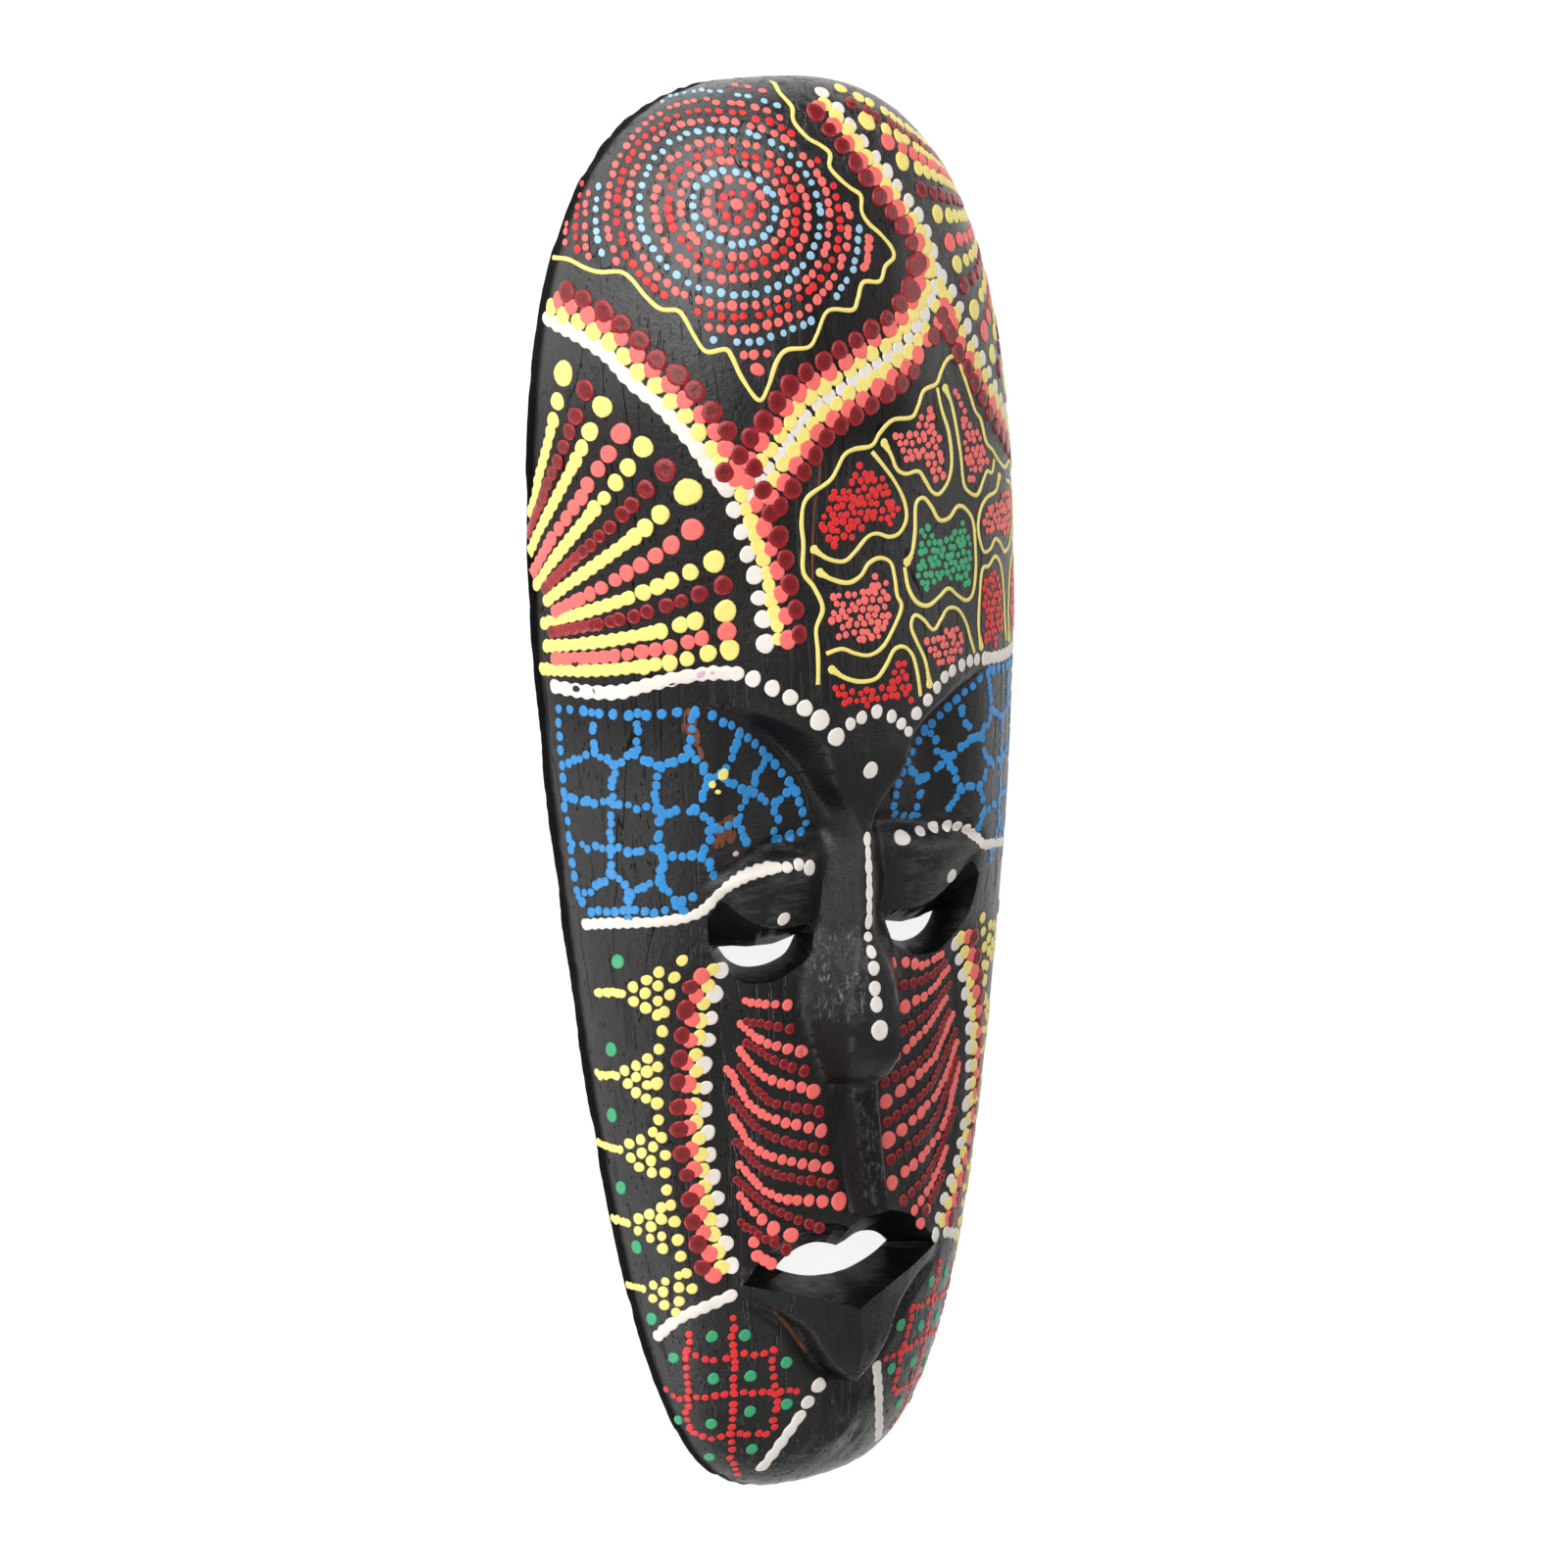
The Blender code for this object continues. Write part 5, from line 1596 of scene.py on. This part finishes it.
def black_pores(shader, carved):
    """Open pores and short cracks along the grain: 0 in them and 1 where the paint covers the wood."""
    seam = abs(shader.noise(62.0, 4.0, 2.0, 0.4) - 0.5).step(0.001, 0.005, 0.25, 1.0)
    seam = seam.most(shader.noise(30.0, 16.0, 1.0).step(0.50, 0.46))
    seam = seam.most(carved.most(shader.axis("Y").step(*CHIN_WITHOUT_CRACKS)))
    pore = shader.spots(820.0, 150.0).step(0.11, 0.19)
    pore = pore.most(shader.noise(150.0, 80.0, 1.0).step(0.52, 0.58))
    return pore.most(carved).least(seam)


def black_height(shader, carved, pore, groove, flakes_and_glints):
    """Relief of the black skin: fine grain, leathery wrinkles, pores, grooves, flakes and brush strokes."""
    brushed = shader.noise(380.0, 1000.0, 4.0, 0.7) * carved
    outer = abs(shader.axis("X")).step(*LEATHERY)
    wrinkle = shader.noise(420.0, 420.0, 5.0, 0.7) * (outer * 1.1 + 0.4)
    grain = shader.noise(1700.0, 55.0, 4.0, 0.6)
    return grain * 0.16 + wrinkle + pore * 0.5 + groove * 0.6 + flakes_and_glints * 0.5 + brushed * 0.5


def black_tone(shader, nose, flakes_and_glints, pore, above_rim_shade):
    """Colour of the black paint: painted sheen and highlights on the nose and lids, painted shade in pores
    and at the rim.
    """
    tone = shader.noise(90.0, 24.0, 2.0).mix(srgb(*BLACK_DARK), srgb(*BLACK_LIGHT))
    # Painted sheen: the left of the nose made paler grey, where a lamp would shine on it
    tone = (nose * 0.10).mix(tone, srgb(*NOSE_PAINTED_SHEEN))
    # Painted highlights: pale grey flecks on the nose and the bar, where glints would be
    tone = (flakes_and_glints * 0.9).mix(tone, srgb(*FLAKE_PAINTED_HIGHLIGHT))
    lids = shader.inside_box(*LIDS_PLACE)
    # Painted highlights: paler grey streaks on the lids, beside the nose
    lid_highlights = shader.noise(120.0, 420.0, 4.0, 0.6).step(0.46, 0.66) * lids
    lid_highlights = lid_highlights * abs(shader.axis("X")).step(*LID_HIGHLIGHTS_FROM)
    tone = (lid_highlights * 0.6).mix(tone, srgb(*LID_PAINTED_HIGHLIGHT))
    # Painted shade: pores and cracks made near black
    tone = pore.mix(srgb(*PAINTED_SHADE_IN_PORES), tone)
    # Painted shade: the strip along the rim made darker
    return above_rim_shade.mix(srgb(*PAINTED_SHADE_AT_RIM), tone)


def black_shine(shader, carved, bar, pore, above_rim_shade):
    """How strongly the black paint mirrors: least in pores, at the rim and in the duller patches."""
    crown = shader.axis("Y").step(*GLOSSY_CROWN, 0.5, 0.95) * bar.step(0.0, 1.0, 1.0, 0.5)
    shine = above_rim_shade.step(0.0, 1.0, 0.16, 1.0) * crown
    for *place, gone in DULL_PATCHES:
        shine = shine * shader.inside_box(*place).step(0.0, 1.0, 1.0, 1.0 - gone)
    shine = shine * pore.step(0.0, 1.0, 0.1, 1.0)
    steep = shader.upward().step(*STEEP, 0.8, 0.0)
    return shine * (1.0 - steep * carved)


def black_paint(name):
    """Black paint over open grain: thin with pores on the sides, thick and glossy on the carved middle."""
    shader = Shader(name)
    carved = shader.inside_box(*CARVED_PLACE).most(shader.inside_box(*EYES_PLACE))
    # 1 away from the rim; at the rim the paint is matt and darkened as painted shade
    above_rim_shade = shader.axis("Z").step(*MATT_SHADED_RIM)
    nose = shader.inside_box(*NOSE_FACET_PLACE, middle=NOSE_FACET_MIDDLE)
    lean = shader.axis("Y").step(MM * BAR_LEAN_Y[1], MM * BAR_LEAN_Y[0], MM * BAR_LEAN, 0.0)
    bar = shader.inside_box(*BAR_PLACE, BAR_SOFT_EDGE, lean)
    # Flakes of paint on the nose and the bar: real relief, and painted highlights in the colour
    flakes_and_glints = shader.noise(900.0, 330.0, 5.0, 0.75).step(0.47, 0.59) * (nose * 0.85 + bar * 0.35)
    flakes_and_glints = flakes_and_glints * shader.noise(260.0, 150.0, 2.0, 0.6).step(0.42, 0.62)
    pore = black_pores(shader, carved)
    groove = shader.noise(420.0, 13.0, 3.0, 0.5).step(0.33, 0.42).most(carved)
    rough = shader.noise(300.0, 90.0).step(0.3, 0.7, 0.20, 0.32) - carved * 0.04
    for bare, roughness in ((pore, 0.8), (groove, 0.6), (above_rim_shade, 0.9)):
        rough = rough.most(bare.step(0.0, 1.0, roughness, 0.0))
    return shader.looks(
        Base_Color=black_tone(shader, nose, flakes_and_glints, pore, above_rim_shade),
        Roughness=rough,
        Specular_IOR_Level=black_shine(shader, carved, bar, pore, above_rim_shade),
        Normal=black_height(shader, carved, pore, groove, flakes_and_glints).bump(0.0006),
    )


def shaded_pocket_paint(name):
    """Glossy black paint with the strokes of a gouge under it, darker than the face as painted shade in the
    pockets.
    """
    shader = Shader(name)
    strokes = shader.noise(150.0, 420.0, 3.0, 0.5)
    return shader.looks(
        # Painted shade: the pockets darker than the black of the face
        Base_Color=srgb(*POCKET_PAINTED_SHADE),
        Roughness=strokes.step(0.3, 0.7, 0.30, 0.46),
        Specular_IOR_Level=0.16,
        Normal=strokes.bump(0.0005),
    )


def tinted(colour, share, added=0.0):
    """A colour with its red, green and blue each multiplied by a share, and a little added."""
    return (*[min(1.0, share * value + added) for value in colour[:3]], 1.0)


def raw_wood(name, dark, light, roughness):
    """Brown wood with its grain along the mask."""
    shader = Shader(name)
    dark, light = srgb(*dark), srgb(*light)
    grain = shader.noise(520.0, 26.0, 6.0, 0.65)
    rings = shader.noise(70.0, 5.0)
    pore = shader.spots(520.0, 110.0).step(0.14, 0.30)
    tone = grain.step(0.3, 0.7).mix(dark, light)
    tone = rings.step(0.35, 0.7, 0.0, 0.45).mix(tone, dark)
    return shader.looks(
        Base_Color=pore.mix(tinted(dark, 0.3), tone),
        Roughness=grain.step(0.2, 0.8, roughness - 0.1, roughness + 0.1),
        Specular_IOR_Level=0.35,
        Normal=(grain * 0.6 + pore * 0.6).bump(0.0004),
    )


def drop_paint(name, colour, roughness, shade, mottle=0.0, pool=0.0):
    """Acrylic paint: nearly even, a little darker here and there, with a skin that isn't quite flat."""
    shader = Shader(name)
    colour = srgb(*colour)
    tone = shader.noise(130.0, 130.0, 2.0).step(0.35, 0.65).mix(colour, tinted(colour, shade))
    if mottle:
        spots = shader.noise(900.0, 900.0, 2.0).step(0.45, 0.75, 0.0, mottle)
        tone = spots.mix(tone, tinted(colour, 2.1, 0.03))
    if pool:
        middle = shader.add("ShaderNodeAttribute", "Fac", {}, attribute_name="middle")
        tone = (middle * pool).mix(tone, tinted(colour, 0.35))
    skin = shader.noise(700.0, 700.0, 2.0).bump(0.00012)
    return shader.looks(Base_Color=tone, Roughness=roughness, Normal=skin)


def paint_material(colour):
    name = colour if colour in MARKS else SLOTS[colour]
    make = raw_wood if colour == "bare_wood" else drop_paint
    return make(name, *PAINTS[colour][1:])


# Camera, in degrees and metres: how far it is turned to the mask's left and raised over it, its roll, its
# distance and its aim; then the size of the picture and of the film
CAMERA_TURN = 31.0
CAMERA_RISE = 10.7
CAMERA_ROLL = 1.9
CAMERA_DISTANCE = 1.216
CAMERA_AIM = (-0.0139, 0.0122, 0.030)
PICTURE_WIDTH = 1600
PIXELS_PER_MM = 2.99
FILM_WIDTH = 36.0
# Floor and room: the floor in millimetres, and how brightly the floor and the room glow
WHITE = (1.0, 1.0, 1.0, 1.0)
FLOOR_HALF_WIDTH = 12000.0
FLOOR_GAP = 0.2
FLOOR_COLOUR = (0.30, 0.30, 0.30, 1.0)
FLOOR_GLOW = 0.86
ROOM_GLOW = 0.23
# Soft boxes: azimuth from +X towards +Y, elevation and distance, then width, height and brightness
SOFT_BOXES = {
    "crown_box": (130.0, 36.0, 1.6, 1.7, 2.2, 2.9),
    "low_box": (-147.0, 10.0, 1.5, 0.9, 0.5, 5.0),
    "right_box": (10.0, 36.0, 1.7, 1.3, 0.9, 1.4),
    "fill_box": (-108.0, 44.0, 1.6, 2.0, 1.0, 0.4),
}


def add_camera():
    turn, rise, roll = map(math.radians, (CAMERA_TURN, CAMERA_RISE, CAMERA_ROLL))
    back = np.array([-math.sin(turn) * math.cos(rise), math.sin(rise), math.cos(turn) * math.cos(rise)])
    right = np.array([math.cos(turn), 0.0, math.sin(turn)])
    up = np.cross(back, right)
    right, up = right * math.cos(roll) - up * math.sin(roll), right * math.sin(roll) + up * math.cos(roll)
    data = bpy.data.cameras.new("camera")
    data.sensor_width = FILM_WIDTH
    data.lens = PIXELS_PER_MM / MM * CAMERA_DISTANCE / PICTURE_WIDTH * FILM_WIDTH
    place = CAMERA_AIM + CAMERA_DISTANCE * back
    bpy.context.scene.camera = new_object("camera", data, (right, up, back), place)


def add_softbox(name, azimuth, elevation, distance, width, height, brightness):
    """A flat lamp that faces the mask; its brightness is what a mirror would show of it."""
    turn, rise = math.radians(azimuth), math.radians(elevation)
    away = np.array([math.cos(rise) * math.cos(turn), math.cos(rise) * math.sin(turn), math.sin(rise)])
    side = np.array([-math.sin(turn), math.cos(turn), 0.0])
    light = bpy.data.lights.new(name, "AREA")
    light.shape = "RECTANGLE"
    light.size = width
    light.size_y = height
    light.energy = math.pi * width * height * brightness
    new_object(name, light, (side, np.cross(away, side), away), distance * away)


def add_floor():
    """A pale floor that glows like a light table."""
    half = FLOOR_HALF_WIDTH
    corners = np.array([[-half, -half, -FLOOR_GAP], [half, -half, -FLOOR_GAP], [half, half, -FLOOR_GAP],
                        [-half, half, -FLOOR_GAP]])
    material = Shader("floor").looks(
        Base_Color=FLOOR_COLOUR, Roughness=0.9, Specular_IOR_Level=0.1, Emission_Color=WHITE,
        Emission_Strength=FLOOR_GLOW,
    )
    floor = new_object("floor", new_mesh("floor", corners, [(0, 1, 2, 3)], [material]))


def add_room():
    """A dim white room around the mask."""
    world = bpy.data.worlds.new("room")
    world.use_nodes = True
    background = world.node_tree.nodes["Background"]
    background.inputs["Color"].default_value = WHITE
    background.inputs["Strength"].default_value = ROOM_GLOW
    bpy.context.scene.world = world
    bpy.context.scene.view_settings.view_transform = "Standard"


def main():
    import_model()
    front = black_paint("black_painted_wood")
    pocket = shaded_pocket_paint("black_pocket_shaded")
    back = raw_wood("hollow_wood", *HOLLOW_WOOD)
    wood = carved_wood(front, back, pocket)
    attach(wood, "root")
    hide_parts("mask")
    paint = Paint()
    for paint_part in (
        paint_target, paint_ropes, paint_fans, paint_cells, paint_white_lines, paint_blue_nets,
        paint_cheek_edges, paint_cheeks, paint_chin, paint_wear,
    ):
        paint_part(paint)
    for colour in PAINTS:
        piece = paint_piece(paint, colour, paint_material(colour))
        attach(piece, "root")
    add_camera()
    add_floor()
    for name, lamp in SOFT_BOXES.items():
        add_softbox(name, *lamp)
    add_room()


main()
